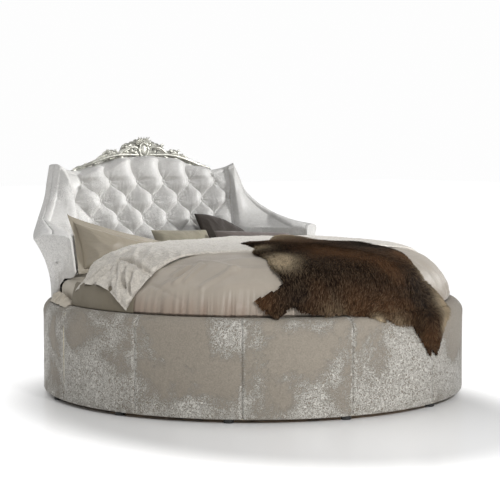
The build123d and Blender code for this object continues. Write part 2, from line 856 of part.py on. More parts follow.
def foot_of(side_y, middle_y):
    """the plan of everything on the foot side of an edge"""
    far = -base_diameter
    sides = Polyline((base_radius, side_y), (base_radius, far), (-base_radius, far), (-base_radius, side_y))
    return plan_prism([*across(side_y, middle_y).edges(), *sides.edges()])


def all_above(height):
    far = base_diameter
    return block(-far, far, -far, far, height, far)


def build_duvet():
    foot_plan = foot_of(-turnback_foot_side, -turnback_foot_middle)
    all_plan = foot_of(turnback_head_side, turnback_head_middle)
    above = all_above(open_side_height)
    dome = duvet_dome()
    room = mattress_solid(seat_gap + sheet_thickness + cloth_gap, platform_top)
    lower = plain_dome(turnback_thickness)
    under = (lower & all_plan & above) - foot_plan
    save("duvet", ((dome & foot_plan) + under) - room)
    flap_foot = foot_of(-turnback_foot_side + cloth_gap, -turnback_foot_middle + cloth_gap)
    flap = (dome & all_plan & above) - flap_foot - plain_dome(turnback_thickness - cloth_gap)
    save("duvet_turnback", max((flap - room).solids(), key=lambda s: s.volume))


def drape_line(lift):
    """(radius, height) points over the duvet, the ring's shoulder and its side, lifted outwards"""
    radius, rise = duvet_radius + duvet_fold_depth + lift, duvet_rise + lift
    line = [(dome_radius(share, radius), duvet_foot + share * rise) for share in drape_height_shares]
    crown, middle = base_radius - shoulder_radius, ring_top - shoulder_radius
    roll = shoulder_radius + lift
    over = [(crown + roll * cos(radians(a)), middle + roll * sin(radians(a))) for a in drape_roll_angles]
    return [(base_radius + lift, fur_leg_bottom), *over, *line, (0, duvet_foot + rise)]


def build_fur():
    near, far = drape_line(fur_gap), drape_line(fur_gap + fur_thickness)
    shell = swept_round([*near, *far[::-1]])
    outline = [(x * base_radius, y * base_radius) for x, y in pelt_outline_shares]
    pelt = plan_prism(Polyline(*outline, close=True).edges())
    inner, outer = base_radius - shoulder_radius, base_radius + 2 * fur_thickness
    low, high = fur_leg_angles
    corners = [spot(low, inner), spot(low, outer), spot(high, outer), spot(high, inner)]
    leg = plan_prism(Polyline(*corners, close=True).edges())
    save("fur_throw", (shell & pelt & all_above(fur_hem)) + (shell & leg))


def pulled_outline(width, height, share, pull, depth, tuck=0):
    """a cushion outline whose sides pull in, or bow out where pull is less than nothing"""
    x, y = width / 2 * share, height / 2 * share
    raised = tuck * height * share
    corners = [(x, y), (-x, y), (-x, -y), (x, raised - y)]
    side, end = x - pull * width, y - pull * height
    middles = [(0, end), (-side, 0), (0, raised / 2 - end), (side, raised / 2)]
    arcs = []
    for start, middle, end in zip(corners, middles, corners[1:] + corners[:1]):
        arcs += ThreePointArc((*start, depth), (*middle, depth), (*end, depth)).edges()
    return make_face(arcs)


def cushion(width, height, thickness, flange, tuck):
    """a crowned cushion in its own X and Y, with a flat sewn flange where one is given"""
    layers = [pulled_outline(width, height, share, pull, depth * thickness / 2, tuck)
              for depth, share, pull in cushion_layers_shares]
    shape = loft(layers, ruled=True)
    if flange:
        pull = cushion_layers_shares[3][2]
        edge = pulled_outline(width + 2 * flange, height + 2 * flange, 1, pull, 0, tuck)
        shape = shape + extrude(edge, flange_thickness / 2, both=True)
    return shape


def leaning(shape, x, y, lean, turn, roll):
    """sets a cushion on the sheet, leaning back from upright, turned about Z and rolled in its own face"""
    right, forward = cos(radians(turn)), sin(radians(turn))
    upright = cos(radians(lean))
    face = (forward * upright, -right * upright, sin(radians(lean)))
    placed = Plane(origin=(0, 0, 0), x_dir=(right, forward, 0), z_dir=face) * Rot(0, 0, roll) * shape
    return Pos(x, y, sheet_top + cloth_gap - placed.bounding_box().min.Z) * placed


def build_pillows():
    for k, name in enumerate(pillow_names):
        x, y = [share * base_radius for share in pillow_place_shares[k]]
        shape = cushion(*pillow_sizes[k], pillow_flanges[k], pillow_tuck_shares[k])
        save(name, leaning(shape, x, y, *pillow_angles[k]))


os.makedirs("parts", exist_ok=True)
build_glides()
build_ring_frame()
build_panels()
build_platform()
build_head_frame()
build_covers()
build_buttons()
build_crest()
build_mattress()
build_duvet()
build_fur()
build_pillows()
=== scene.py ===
"""Dressed round bed with a winged, button-tufted headboard under a carved crest.

Lengths are metres and angles are degrees, measured round the bed from the head (+Y) towards +X.
"""

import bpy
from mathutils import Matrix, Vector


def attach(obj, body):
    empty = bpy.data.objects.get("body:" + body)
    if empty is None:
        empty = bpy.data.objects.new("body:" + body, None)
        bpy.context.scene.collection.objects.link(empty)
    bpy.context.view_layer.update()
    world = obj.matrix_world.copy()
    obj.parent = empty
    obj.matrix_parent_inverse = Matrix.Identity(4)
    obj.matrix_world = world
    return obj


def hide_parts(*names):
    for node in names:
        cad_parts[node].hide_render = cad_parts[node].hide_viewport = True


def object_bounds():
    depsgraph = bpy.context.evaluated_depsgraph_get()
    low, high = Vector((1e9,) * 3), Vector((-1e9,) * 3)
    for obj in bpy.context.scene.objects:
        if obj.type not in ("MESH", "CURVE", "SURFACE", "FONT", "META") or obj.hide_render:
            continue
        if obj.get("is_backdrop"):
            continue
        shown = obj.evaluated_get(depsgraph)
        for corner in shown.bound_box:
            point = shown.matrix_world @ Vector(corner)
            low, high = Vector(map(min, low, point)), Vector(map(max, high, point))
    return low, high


bl_info = {
    "name": "Round bed",
    "version": (1, 0, 0),
    "blender": (4, 5, 0),
    "location": "View3D > Sidebar > Round bed",
    "description": "Builds a dressed round bed piece by piece around its packed frame",
    "category": "Object",
}

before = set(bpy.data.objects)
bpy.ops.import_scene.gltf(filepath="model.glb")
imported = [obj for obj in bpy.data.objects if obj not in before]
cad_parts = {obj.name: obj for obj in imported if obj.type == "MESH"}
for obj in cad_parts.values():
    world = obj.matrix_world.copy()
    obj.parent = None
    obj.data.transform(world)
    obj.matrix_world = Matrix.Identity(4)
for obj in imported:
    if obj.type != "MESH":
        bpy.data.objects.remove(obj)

import math
import random
from bisect import bisect

import bmesh
import bpy
from bpy.props import FloatProperty, FloatVectorProperty, IntProperty, PointerProperty
from mathutils import Matrix, Vector, noise

cad_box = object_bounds()


# Sizes and colours a user would change

def length(name, description, default):
    return FloatProperty(name=name, description=description, default=default, unit="LENGTH")


def colour(name, description, default):
    return FloatVectorProperty(name=name, description=description, default=default, size=3,
                               subtype="COLOR", min=0, max=1)


class BedSizes(bpy.types.PropertyGroup):
    tuft_depth: length("Tuft depth", "How far a tuft stands out of the headboard's front", 0.048)
    button_radius: length("Button radius", "Radius of a covered button", 0.0095)
    panel_dip: length("Seam dip", "How far a base panel draws in at its seams", 0.004)
    gather_depth: length("Gather depth", "Depth of the gathers along the duvet's tucked edge", 0.014)
    duvet_wrinkle: length("Duvet wrinkle", "Height of the wrinkles over the duvet", 0.010)
    fold_height: length("Fold height", "How far the folded-back part lies above the duvet", 0.014)
    pile_length: length("Pile length", "Length of the throw's longest fur", 0.036)
    pile_locks: IntProperty(name="Pile locks", description="Number of fur locks on the throw",
                            default=36000, min=100)
    carving_depth: length("Carving depth", "How far the crest's carving stands out", 0.022)


class BedColours(bpy.types.PropertyGroup):
    velvet: colour("Velvet", "Base velvet where its pile lies flat", (0.27, 0.238, 0.195))
    # the crushed flecks' colour: partly the crushed pile, partly painted sheen
    velvet_light: colour("Crushed velvet", "Base velvet where its pile is crushed", (0.61, 0.59, 0.54))
    satin: colour("Headboard satin", "Silvery cloth of the headboard", (0.68, 0.67, 0.65))
    # also mixed darker as painted shade on the headboard's +X side
    satin_shade: colour("Headboard shade", "Darker mottling in the headboard's cloth", (0.55, 0.54, 0.52))
    silver: colour("Silver leaf", "Leafed carving of the crest", (0.70, 0.695, 0.63))
    # the colour the carving takes in its hollows
    silver_worn: colour("Worn leaf", "Recesses and wear in the silver leaf", (0.16, 0.15, 0.125))
    duvet: colour("Duvet", "Champagne satin of the duvet", (0.37, 0.325, 0.27))
    # mixed into the duvet's low sides as painted shade
    gathers: colour("Gathers", "Warm shade in the duvet's gathers", (0.27, 0.20, 0.155))
    turnback: colour("Folded part", "White jacquard of the folded-back part", (0.52, 0.485, 0.43))
    sheet: colour("Sheet", "Cream cotton of the fitted sheet", (0.50, 0.45, 0.37))
    pillow: colour("Pillow", "Champagne satin of the pillows", (0.30, 0.262, 0.20))
    olive: colour("Back pillow", "Olive-beige satin of the back pillow", (0.27, 0.245, 0.18))
    dark: colour("Dark cushion", "Dark plush of the slanted cushion", (0.030, 0.021, 0.015))
    mauve: colour("Grey cushion", "Grey-mauve satin of the low cushion", (0.14, 0.115, 0.105))
    pile_dark: colour("Dark fur", "Body of the throw", (0.013, 0.0068, 0.0036))
    pile_brown: colour("Brown fur", "Lit brown of the throw", (0.118, 0.055, 0.023))
    pile_tan: colour("Tan fur", "Light patches and fringe of the throw", (0.52, 0.415, 0.275))


def sizes():
    return bpy.context.scene.bed_sizes


def colours():
    return bpy.context.scene.bed_colours


# Shapes shared by the pieces

def polar(angle, radius, height=0.0):
    """a place by its angle from the head, its distance from the bed's axis and its height"""
    return Vector((radius * math.sin(math.radians(angle)), radius * math.cos(math.radians(angle)), height))


def ease(value, low, high):
    share = min(max((value - low) / (high - low), 0.0), 1.0)
    return share * share * (3 - 2 * share)


def between(low, high, share):
    return low + (high - low) * share


def smooth_line(places, heights, level_start=False):
    """a function that reads a table along a smooth line and never overshoots its heights"""
    steps = [b - a for a, b in zip(places, places[1:])]
    rises = [(b - a) / step for a, b, step in zip(heights, heights[1:], steps)]
    slopes = [0.0 if level_start else rises[0]]
    for before, after in zip(rises, rises[1:]):
        slopes.append(2 * before * after / (before + after) if before * after > 0 else 0.0)
    slopes.append(rises[-1])

    def read(value):
        k = max(0, min(bisect(places, value) - 1, len(steps) - 1))
        s = min(max((value - places[k]) / steps[k], 0.0), 1.0)
        low, high = heights[k], heights[k + 1]
        start, end = slopes[k] * steps[k], slopes[k + 1] * steps[k]
        return low + s * (start + s * (3 * (high - low) - 2 * start - end
                                       + s * (2 * (low - high) + start + end)))
    return read


def bumps(x, y, z=0.0):
    return noise.noise(Vector((x, y, z)))


def ridges(x, y, z=0.0):
    """noise with sharp crests, from 0 to 1"""
    return 1 - min(abs(bumps(x, y, z)) * 2.4, 1.0)


COVER_WALL, SHEET_WALL = 0.003, 0.0012


def new_mesh():
    bm = bmesh.new()
    bm.loops.layers.uv.new("UVMap")
    return bm


def add_grid(bm, columns, rows, place):
    """a grid whose points go where place says for their shares of its columns and rows"""
    grid = bmesh.ops.create_grid(bm, x_segments=columns, y_segments=rows, size=0.5, calc_uvs=True)
    for v in grid["verts"]:
        v.co = place(v.co.x + 0.5, v.co.y + 0.5)
    return grid["verts"]


def settle(bm, inside=None, wall=0.0, merge=1e-5):
    """merges doubles, turns the faces away from a place inside, then gives them a wall"""
    bmesh.ops.remove_doubles(bm, verts=bm.verts, dist=merge)
    bmesh.ops.recalc_face_normals(bm, faces=bm.faces)
    if inside is not None:
        facing = sum(f.normal.dot(f.calc_center_median() - inside(f.calc_center_median())) for f in bm.faces)
        if facing < 0:
            bmesh.ops.reverse_faces(bm, faces=bm.faces)
    if wall:
        bmesh.ops.solidify(bm, geom=bm.faces[:], thickness=wall)


def piece(name, bm, finish, slot, *nodes):
    """a finished piece that rides on the bed and stands for the CAD nodes named"""
    mesh = bpy.data.meshes.new(name)
    bm.to_mesh(mesh)
    bm.free()
    mesh.materials.append(finish)
    mesh.shade_smooth()
    obj = bpy.data.objects.new(name, mesh)
    bpy.context.scene.collection.objects.link(obj)
    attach(obj, "root")
    if nodes:
        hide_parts(*nodes)
    return obj


# Materials

def add_node(tree, kind, inputs=None, **settings):
    node = tree.nodes.new("ShaderNode" + kind)
    for name, value in settings.items():
        setattr(node, name, value)
    for name, value in (inputs or {}).items():
        feed(tree, node.inputs[name], value)
    return node


def feed(tree, socket, value):
    if isinstance(value, bpy.types.NodeSocket):
        tree.links.new(value, socket)
    else:
        socket.default_value = value


def darker(value, share):
    return [v * share for v in value]


def tone(value, share=1.0):
    """a colour for a node, made darker or lighter by its share"""
    return (*darker(value, share), 1.0)


def mix_colour(tree, share, low, high):
    return add_node(tree, "Mix", {0: share, 6: low, 7: high}, data_type="RGBA").outputs[2]


def math_node(tree, operation, first, second=0.0):
    return add_node(tree, "Math", {0: first, 1: second}, operation=operation).outputs[0]


def plus(tree, *values):
    total = values[0]
    for value in values[1:]:
        total = math_node(tree, "ADD", total, value)
    return total


def times(tree, first, second):
    return math_node(tree, "MULTIPLY", first, second)


def noise_value(tree, place, scale, detail=2.0, roughness=0.5, distortion=0.0):
    return add_node(tree, "TexNoise", {"Vector": place, "Scale": scale, "Detail": detail,
                                       "Roughness": roughness, "Distortion": distortion}).outputs[0]


def stepped(tree, value, low, high, start=0.0, end=1.0):
    return add_node(tree, "MapRange", {"Value": value, "From Min": low, "From Max": high,
                                       "To Min": start, "To Max": end}, interpolation_type="SMOOTHSTEP").outputs[0]


def new_group(name, takes, gives):
    """a shader group with float or vector inputs and float outputs"""
    tree = bpy.data.node_groups.new(name, "ShaderNodeTree")
    for label, default in takes:
        kind = "NodeSocketVector" if default is None else "NodeSocketFloat"
        socket = tree.interface.new_socket(name=label, in_out="INPUT", socket_type=kind)
        if default is not None:
            socket.default_value = default
    for label in gives:
        tree.interface.new_socket(name=label, in_out="OUTPUT", socket_type="NodeSocketFloat")
    return tree, tree.nodes.new("NodeGroupInput").outputs, tree.nodes.new("NodeGroupOutput").inputs


def crush_group():
    """flattened pile: a mask of small flecks gathered in patches, which the finishes paint lighter partly as sheen,
    and its height
    """
    tree, given, out = new_group("Crushed pile", [("Vector", None), ("Fleck Scale", 120.0), ("Patch Scale", 3.0),
                                                  ("Lean", 0.0)], ["Mask", "Cover", "Height"])
    fleck = noise_value(tree, given["Vector"], given["Fleck Scale"], 2.0, 0.55, 1.8)
    worm = math_node(tree, "ABSOLUTE", math_node(tree, "SUBTRACT", fleck, 0.5))
    patch = noise_value(tree, given["Vector"], given["Patch Scale"], 4.0, 0.6, 0.4)
    patch = plus(tree, patch, given["Lean"], times(tree, fleck, 0.10))
    cover = stepped(tree, patch, 0.515, 0.65)
    width = stepped(tree, patch, 0.50, 0.72, 0.02, 0.085)
    line = stepped(tree, math_node(tree, "DIVIDE", worm, width), 0.5, 1.3, 1.0, 0.0)
    feed(tree, out["Mask"], times(tree, line, cover))
    feed(tree, out["Cover"], cover)
    feed(tree, out["Height"], times(tree, line, plus(tree, cover, 0.12)))
    return tree


def weave_group():
    """crossed threads of a plain cloth"""
    tree, given, out = new_group("Weave", [("Vector", None), ("Threads", 900.0)], ["Height"])
    warp, weft = [add_node(tree, "TexWave", {"Vector": given["Vector"], "Scale": given["Threads"], "Distortion": 0.6},
                           wave_type="BANDS", bands_direction=way).outputs[1] for way in ("X", "Z")]
    feed(tree, out["Height"], times(tree, warp, weft))
    return tree


def mottle_group():
    """slow uneven shading over a cloth or a board"""
    tree, given, out = new_group("Mottle", [("Vector", None), ("Scale", 8.0), ("Contrast", 0.3)], ["Mask"])
    value = noise_value(tree, given["Vector"], given["Scale"], 6.0, 0.6, 0.4)
    low = math_node(tree, "SUBTRACT", 0.5, given["Contrast"])
    high = plus(tree, 0.5, given["Contrast"])
    feed(tree, out["Mask"], stepped(tree, value, low, high))
    return tree


GROUP_MAKERS = {"Crushed pile": crush_group, "Weave": weave_group, "Mottle": mottle_group}


def grouped(tree, name, **inputs):
    """places a shared group, made the first time it is asked for"""
    node = tree.nodes.new("ShaderNodeGroup")
    node.node_tree = bpy.data.node_groups.get(name) or GROUP_MAKERS[name]()
    for label, value in inputs.items():
        feed(tree, node.inputs[label.replace("_", " ")], value)
    return node.outputs


def new_finish(name, **constants):
    """a material with its shader's own constants set, its tree and its object coordinates"""
    finish = bpy.data.materials.new("bed_" + name)
    finish.use_nodes = True
    tree = finish.node_tree
    tree.nodes.clear()
    shader = add_node(tree, "BsdfPrincipled")
    for label, value in constants.items():
        shader.inputs[label.replace("_", " ")].default_value = value
    ending = tree.nodes.new("ShaderNodeOutputMaterial")
    tree.links.new(shader.outputs[0], ending.inputs["Surface"])
    return finish, tree, shader, add_node(tree, "TexCoord").outputs["Object"]


def bump(tree, shader, height, strength, distance):
    made = add_node(tree, "Bump", {"Height": height, "Strength": strength, "Distance": distance})
    tree.links.new(made.outputs[0], shader.inputs["Normal"])


def once(make):
    """a finish that is made the first time it is asked for"""
    def get():
        return bpy.data.materials.get("bed_" + make.__name__) or make()
    return get


@once
def crushed_velvet():
    finish, tree, shader, place = new_finish("crushed_velvet", Roughness=0.62, Sheen_Weight=0.12, Sheen_Roughness=0.4,
                                             Specular_IOR_Level=0.3)
    axes = add_node(tree, "SeparateXYZ", {"Vector": place}).outputs
    low = stepped(tree, axes["Z"], 0.0, 0.38, 0.10, -0.03)
    far_left = stepped(tree, axes["X"], -0.85, -1.08, 0.0, 0.10)
    # painted shade: fewer light flecks from X 0.2 to 0.7 keep the base's right side darker
    right = stepped(tree, axes["X"], 0.2, 0.7, 0.0, -0.11)
    across = plus(tree, times(tree, axes["X"], 0.085), 0.075, far_left, right)
    # painted highlight: more light flecks close beside each panel seam
    half_panel = math.pi / PANELS
    turn = plus(tree, math_node(tree, "ARCTAN2", axes["X"], axes["Y"]), math.pi + half_panel)
    seam = math_node(tree, "PINGPONG", turn, half_panel)
    beside = stepped(tree, seam, 0.004, 0.022, 0.08, 0.0)
    lean = plus(tree, low, across, beside)
    crush = grouped(tree, "Crushed pile", Vector=place, Fleck_Scale=76.0, Patch_Scale=2.6, Lean=lean)
    soft = grouped(tree, "Mottle", Vector=place, Scale=150.0, Contrast=0.16)
    c = colours()
    plain = mix_colour(tree, soft["Mask"], tone(c.velvet, 0.90), tone(c.velvet, 1.14))
    # crushed patches are partly real pile and partly painted light: their ground is darkened as painted shade, their
    # flecks lightened as painted sheen
    shade = times(tree, crush["Cover"], 0.34)
    plain = mix_colour(tree, shade, plain, tone(c.velvet, 0.55))
    cloth = mix_colour(tree, crush["Mask"], plain, tone(c.velvet_light))
    # painted shade: across X 0.1 to 0.9 the velvet is mixed towards a dark tone, darkest on the base's +X side
    dim = stepped(tree, axes["X"], 0.1, 0.9, 0.0, 0.26)
    feed(tree, shader.inputs["Base Color"], mix_colour(tree, dim, cloth, tone(c.velvet, 0.4)))
    feed(tree, shader.inputs["Roughness"], stepped(tree, crush["Mask"], 0.0, 1.0, 0.66, 0.42))
    bump(tree, shader, crush["Height"], 0.8, 0.006)
    return finish


@once
def silver_satin():
    finish, tree, shader, place = new_finish("silver_satin", Roughness=0.46, Sheen_Weight=0.25, Sheen_Roughness=0.35,
                                             Specular_IOR_Level=0.45)
    axes = add_node(tree, "SeparateXYZ", {"Vector": place}).outputs
    lean = stepped(tree, axes["Z"], 0.72, 1.15, 0.05, -0.05)
    # painted shade: from X -0.7 to 0.75 the cloth is mixed more and more towards a dark tone, darkest on the
    # headboard's +X side
    across = stepped(tree, axes["X"], -0.7, 0.75)
    crush = grouped(tree, "Crushed pile", Vector=place, Fleck_Scale=95.0, Patch_Scale=5.0, Lean=lean)
    soft = grouped(tree, "Mottle", Vector=place, Scale=75.0, Contrast=0.35)
    c = colours()
    plain = mix_colour(tree, soft["Mask"], tone(c.satin_shade), tone(c.satin))
    # crushed pile flecks, lightened partly as painted sheen
    cloth = mix_colour(tree, crush["Mask"], plain, tone(c.satin, 1.22))
    dim = times(tree, across, 0.42)
    feed(tree, shader.inputs["Base Color"], mix_colour(tree, dim, cloth, tone(c.satin_shade, 0.35)))
    feed(tree, shader.inputs["Roughness"], stepped(tree, soft["Mask"], 0.0, 1.0, 0.40, 0.54))
    bump(tree, shader, crush["Height"], 0.5, 0.004)
    return finish


@once
def silver_leaf():
    finish, tree, shader, place = new_finish("silver_leaf", Metallic=0.75, Roughness=0.42)
    soft = grouped(tree, "Mottle", Vector=place, Scale=60.0, Contrast=0.2)
    darkening_mottle = grouped(tree, "Mottle", Vector=place, Scale=14.0, Contrast=0.12)
    c = colours()
    leaf = mix_colour(tree, soft["Mask"], tone(c.silver, 0.72), tone(c.silver))
    # the silver is darker in the carving's hollows, where pointiness is low, and mottled somewhat darker elsewhere
    edge = add_node(tree, "NewGeometry").outputs["Pointiness"]
    shade = times(tree, stepped(tree, edge, 0.42, 0.52), stepped(tree, darkening_mottle["Mask"], 0.0, 1.0, 0.55, 1.0))
    feed(tree, shader.inputs["Base Color"], mix_colour(tree, shade, tone(c.silver_worn), leaf))
    feed(tree, shader.inputs["Roughness"], stepped(tree, soft["Mask"], 0.0, 1.0, 0.52, 0.33))
    bump(tree, shader, soft["Mask"], 0.3, 0.001)
    return finish


def satin_cloth(name, main, shade, roughness, threads, sheen=0.2, warm=None):
    """a satin or plain cloth; warm is mixed in as painted shade where the cloth's own shade attribute says"""
    finish, tree, shader, place = new_finish(name, Sheen_Weight=sheen, Sheen_Roughness=0.4, Specular_IOR_Level=0.4)
    soft = grouped(tree, "Mottle", Vector=place, Scale=7.0, Contrast=0.3)
    weave = grouped(tree, "Weave", Vector=place, Threads=threads)
    made = mix_colour(tree, soft["Mask"], tone(shade), tone(main))
    if warm is not None:
        painted_shade = add_node(tree, "Attribute", attribute_name="Tint").outputs["Fac"]
        made = mix_colour(tree, painted_shade, made, tone(warm))
    feed(tree, shader.inputs["Base Color"], made)
    feed(tree, shader.inputs["Roughness"], stepped(tree, soft["Mask"], 0.0, 1.0, roughness + 0.08, roughness))
    bump(tree, shader, weave["Height"], 0.25, 0.0006)
    return finish


@once
def duvet_satin():
    return satin_cloth("duvet_satin", colours().duvet, darker(colours().duvet, 0.88), 0.33, 420.0, 0.2,
                       colours().gathers)


@once
def pillow_satin():
    return satin_cloth("pillow_satin", colours().pillow, darker(colours().pillow, 0.86), 0.42, 420.0, 0.2,
                       (0.50, 0.36, 0.27))


@once
def olive_satin():
    return satin_cloth("olive_satin", colours().olive, darker(colours().olive, 0.75), 0.45, 420.0)


@once
def mauve_satin():
    return satin_cloth("mauve_satin", colours().mauve, darker(colours().mauve, 0.7), 0.45, 420.0)


@once
def dark_plush():
    return satin_cloth("dark_plush", colours().dark, darker(colours().dark, 0.6), 0.75, 300.0, 0.4)


@once
def cream_cotton():
    return satin_cloth("cream_cotton", colours().sheet, darker(colours().sheet, 0.9), 0.6, 500.0, 0.15)


@once
def olive_cotton():
    return satin_cloth("olive_cotton", (0.19, 0.165, 0.12), (0.16, 0.135, 0.095), 0.6, 500.0, 0.1)


@once
def ticking():
    return satin_cloth("ticking", (0.78, 0.77, 0.74), (0.66, 0.66, 0.66), 0.7, 260.0, 0.1)


@once
def white_jacquard():
    finish, tree, shader, place = new_finish("white_jacquard", Sheen_Weight=0.25, Sheen_Roughness=0.4,
                                             Specular_IOR_Level=0.45)
    figure = noise_value(tree, place, 70.0, 3.0, 0.6, 1.2)
    raised = stepped(tree, figure, 0.44, 0.56)
    soft = grouped(tree, "Mottle", Vector=place, Scale=9.0, Contrast=0.25)
    c = colours()
    ground = mix_colour(tree, soft["Mask"], tone(c.turnback, 0.84), tone(c.turnback))
    feed(tree, shader.inputs["Base Color"], mix_colour(tree, raised, ground, tone(c.turnback, 1.12)))
    feed(tree, shader.inputs["Roughness"], stepped(tree, raised, 0.0, 1.0, 0.55, 0.36))
    bump(tree, shader, figure, 0.5, 0.003)
    return finish


@once
def fur_pile():
    finish, tree, shader, place = new_finish("fur_pile", Roughness=0.6, Specular_IOR_Level=0.06)
    coat = add_node(tree, "Attribute", attribute_name="Coat").outputs["Color"]
    fine = noise_value(tree, place, 240.0, 2.0, 0.6)
    dim = mix_colour(tree, stepped(tree, fine, 0.3, 0.7, 0.25, 0.0), coat, tone((0.01, 0.006, 0.004)))
    feed(tree, shader.inputs["Base Color"], dim)
    bump(tree, shader, fine, 0.2, 0.001)
    return finish


def hard_finish(name, main, shade, scale, stretch, roughness, metal, strength):
    """a plain hard material with grain or speckle"""
    finish, tree, shader, place = new_finish(name, Metallic=metal)
    turned = add_node(tree, "Mapping", {"Vector": place, "Scale": stretch}).outputs[0]
    grain = noise_value(tree, turned, scale, 5.0, 0.6, 0.5)
    soft = grouped(tree, "Mottle", Vector=place, Scale=5.0, Contrast=0.3)
    made = mix_colour(tree, stepped(tree, grain, 0.35, 0.65), tone(shade), tone(main))
    made = mix_colour(tree, stepped(tree, soft["Mask"], 0.0, 1.0, 0.12, 0.0), made, tone(shade, 0.7))
    feed(tree, shader.inputs["Base Color"], made)
    feed(tree, shader.inputs["Roughness"], stepped(tree, grain, 0.3, 0.7, roughness + 0.1, roughness - 0.08))
    bump(tree, shader, grain, strength, 0.001)
    return finish


@once
def sawn_wood():
    return hard_finish("sawn_wood", (0.60, 0.43, 0.26), (0.42, 0.27, 0.14), 60.0, (0.12, 1.0, 1.0), 0.6, 0.0, 0.3)


@once
def black_steel():
    return hard_finish("black_steel", (0.035, 0.035, 0.037), (0.022, 0.022, 0.024), 420.0, (1, 1, 1), 0.48, 0.0, 0.25)


@once
def zinc():
    return hard_finish("zinc", (0.55, 0.55, 0.53), (0.38, 0.38, 0.38), 160.0, (1, 1, 1), 0.36, 0.95, 0.1)


@once
def black_nylon():
    return hard_finish("black_nylon", (0.022, 0.022, 0.022), (0.012, 0.012, 0.012), 500.0, (1, 1, 1), 0.5, 0.0, 0.3)


@once
def cream_foam():
    return hard_finish("cream_foam", (0.72, 0.66, 0.48), (0.60, 0.54, 0.38), 700.0, (1, 1, 1), 0.85, 0.0, 0.6)


# Ring

BASE_RADIUS, RING_TOP, SHOULDER, CROWN = 1.15, 0.504, 0.068, 1.082
RING_INNER, PANEL_FOOT, PANELS = 1.055, 0.018, 13
LIP, FOOT_TURN, SEAM_GAP = 0.027, 0.012, 0.0001


def base_profile():
    """(radius, height, share of bulge) down a panel, from its inner hem over the shoulder to its tuck"""
    line = [(RING_INNER, 0.458, 0), (RING_INNER, 0.474, 0)]
    for k in range(0, 6):
        a = math.radians(180 - 15 * k)
        line.append((CROWN + LIP * math.cos(a), RING_TOP - LIP + LIP * math.sin(a), 0))
    for k in range(0, 15):
        a = math.radians(90 - 90 * k / 14)
        line.append((CROWN + SHOULDER * math.cos(a), RING_TOP - SHOULDER + SHOULDER * math.sin(a), k / 14))
    for k in range(1, 30):
        line.append((BASE_RADIUS, between(RING_TOP - SHOULDER, PANEL_FOOT + FOOT_TURN, k / 29), 1))
    for k in range(1, 5):
        a = math.radians(-22.5 * k)
        line.append((BASE_RADIUS - FOOT_TURN + FOOT_TURN * math.cos(a),
                     PANEL_FOOT + FOOT_TURN + FOOT_TURN * math.sin(a), 0.5))
    return line + [(BASE_RADIUS - 0.03, PANEL_FOOT, 0), (BASE_RADIUS - 0.045, PANEL_FOOT + 0.0005, 0)]


def build_base_panels():
    profile, step = base_profile(), 360 / PANELS
    rows, columns = len(profile) - 1, 54
    for k in range(PANELS):
        start = 180 + step / 2 - k * step
        centre = start - step / 2

        def place(u, w):
            gap = math.degrees(SEAM_GAP / BASE_RADIUS)
            angle = between(start - gap, start - step + gap, u)
            radius, height, share = profile[round(w * rows)]
            edge = min(u, 1 - u) * math.radians(step) * BASE_RADIUS
            dip = sizes().panel_dip * math.exp(-edge / 0.010)
            x, y = math.sin(math.radians(angle)), math.cos(math.radians(angle))
            long = 0.0016 * bumps(x * 5, y * 5, height * 3) + 0.0007 * bumps(x * 22, y * 22, height * 9)
            near_top = ease(height, 0.38, 0.47) * ease(edge, 0.16, 0.0)
            crease = near_top * 0.0028 * ridges(x * 46, y * 46, height * 7)
            hem = 0.0022 * ease(height, 0.075, PANEL_FOOT) * bumps(x * 70, y * 70, 2.0)
            out = min(share * (long + crease + hem) - dip * (0.3 + 0.7 * share), 0.001)
            return polar(angle, radius + out, height + (out if 0 < share < 1 and height > 0.4 else 0))

        bm = new_mesh()
        add_grid(bm, columns, rows, place)
        middle = polar(centre, 1.10, 0.26)
        settle(bm, lambda p: middle, wall=COVER_WALL)
        piece(f"velvet_panel_{k + 1:02d}", bm, crushed_velvet(), "base_velvet", f"base_panel_{k + 1:02d}")


# Headboard

STATIONS = (0, 8, 15, 21, 26, 30, 33, 34.8, 36.5, 39, 42, 47, 53, 57.5)
TOP_SHARES = (1, 0.99, 0.952, 0.912, 0.886, 0.905, 0.942, 0.83, 0.72, 0.642, 0.575, 0.5, 0.448, 0.424)
FLARE_SHARES = (0.33, 0.37, 0.46, 0.6, 0.77, 0.9, 1, 0.98, 0.96, 0.93, 0.9, 0.84, 0.78, 0.72)
CORNER, ARM, SEAM = 33, 57.5, 31
HEAD_RISE, HEAD_RADIUS, FLARE, FLARE_POWER = 0.754, 1.107, 0.130, 2.4
FRONT_DEPTH, FRONT_LEAN, FRONT_HALF, LEAN_FROM = 0.874, 0.22, 0.58, 0.6
ARM_DEPTH, ARM_LEAN, EDGE_LEAST = 0.972, 0.12, 0.048
ROLL_DROP, ROLL_RISE, ROLL_GROWTH = 0.014, 0.012, 0.014
LEDGE, LEDGE_POWER, LEDGE_FADE, WING_WALL = 0.828, 0.6, 0.06, 0.062
HEAD_FOOT, PAD_BOTTOM, NECK, PAD_BEND = 0.4803, 0.607, 1.058, 0.025
# Shares of the way round a section where its roll, face, bend and underside end, and how long these are
ROLL_END, FACE_END, BEND_END, UNDER_END, BACK_END = 0.12, 0.9, 0.95, 0.975, 0.88
ROLL_SPAN, FACE_SPAN, BEND_SPAN, UNDER_SPAN = 0.12, 0.78, 0.05, 0.025


def head_line(shares):
    """a table round the headboard, smooth but for the pointed corner"""
    inside = smooth_line(STATIONS[:7], shares[:7], True)
    outside = smooth_line(STATIONS[6:], shares[6:])
    return lambda angle: inside(abs(angle)) if abs(angle) <= CORNER else outside(abs(angle))


top_line, flare_line = head_line(TOP_SHARES), head_line(FLARE_SHARES)


def top_edge(angle):
    return RING_TOP + HEAD_RISE * top_line(angle)


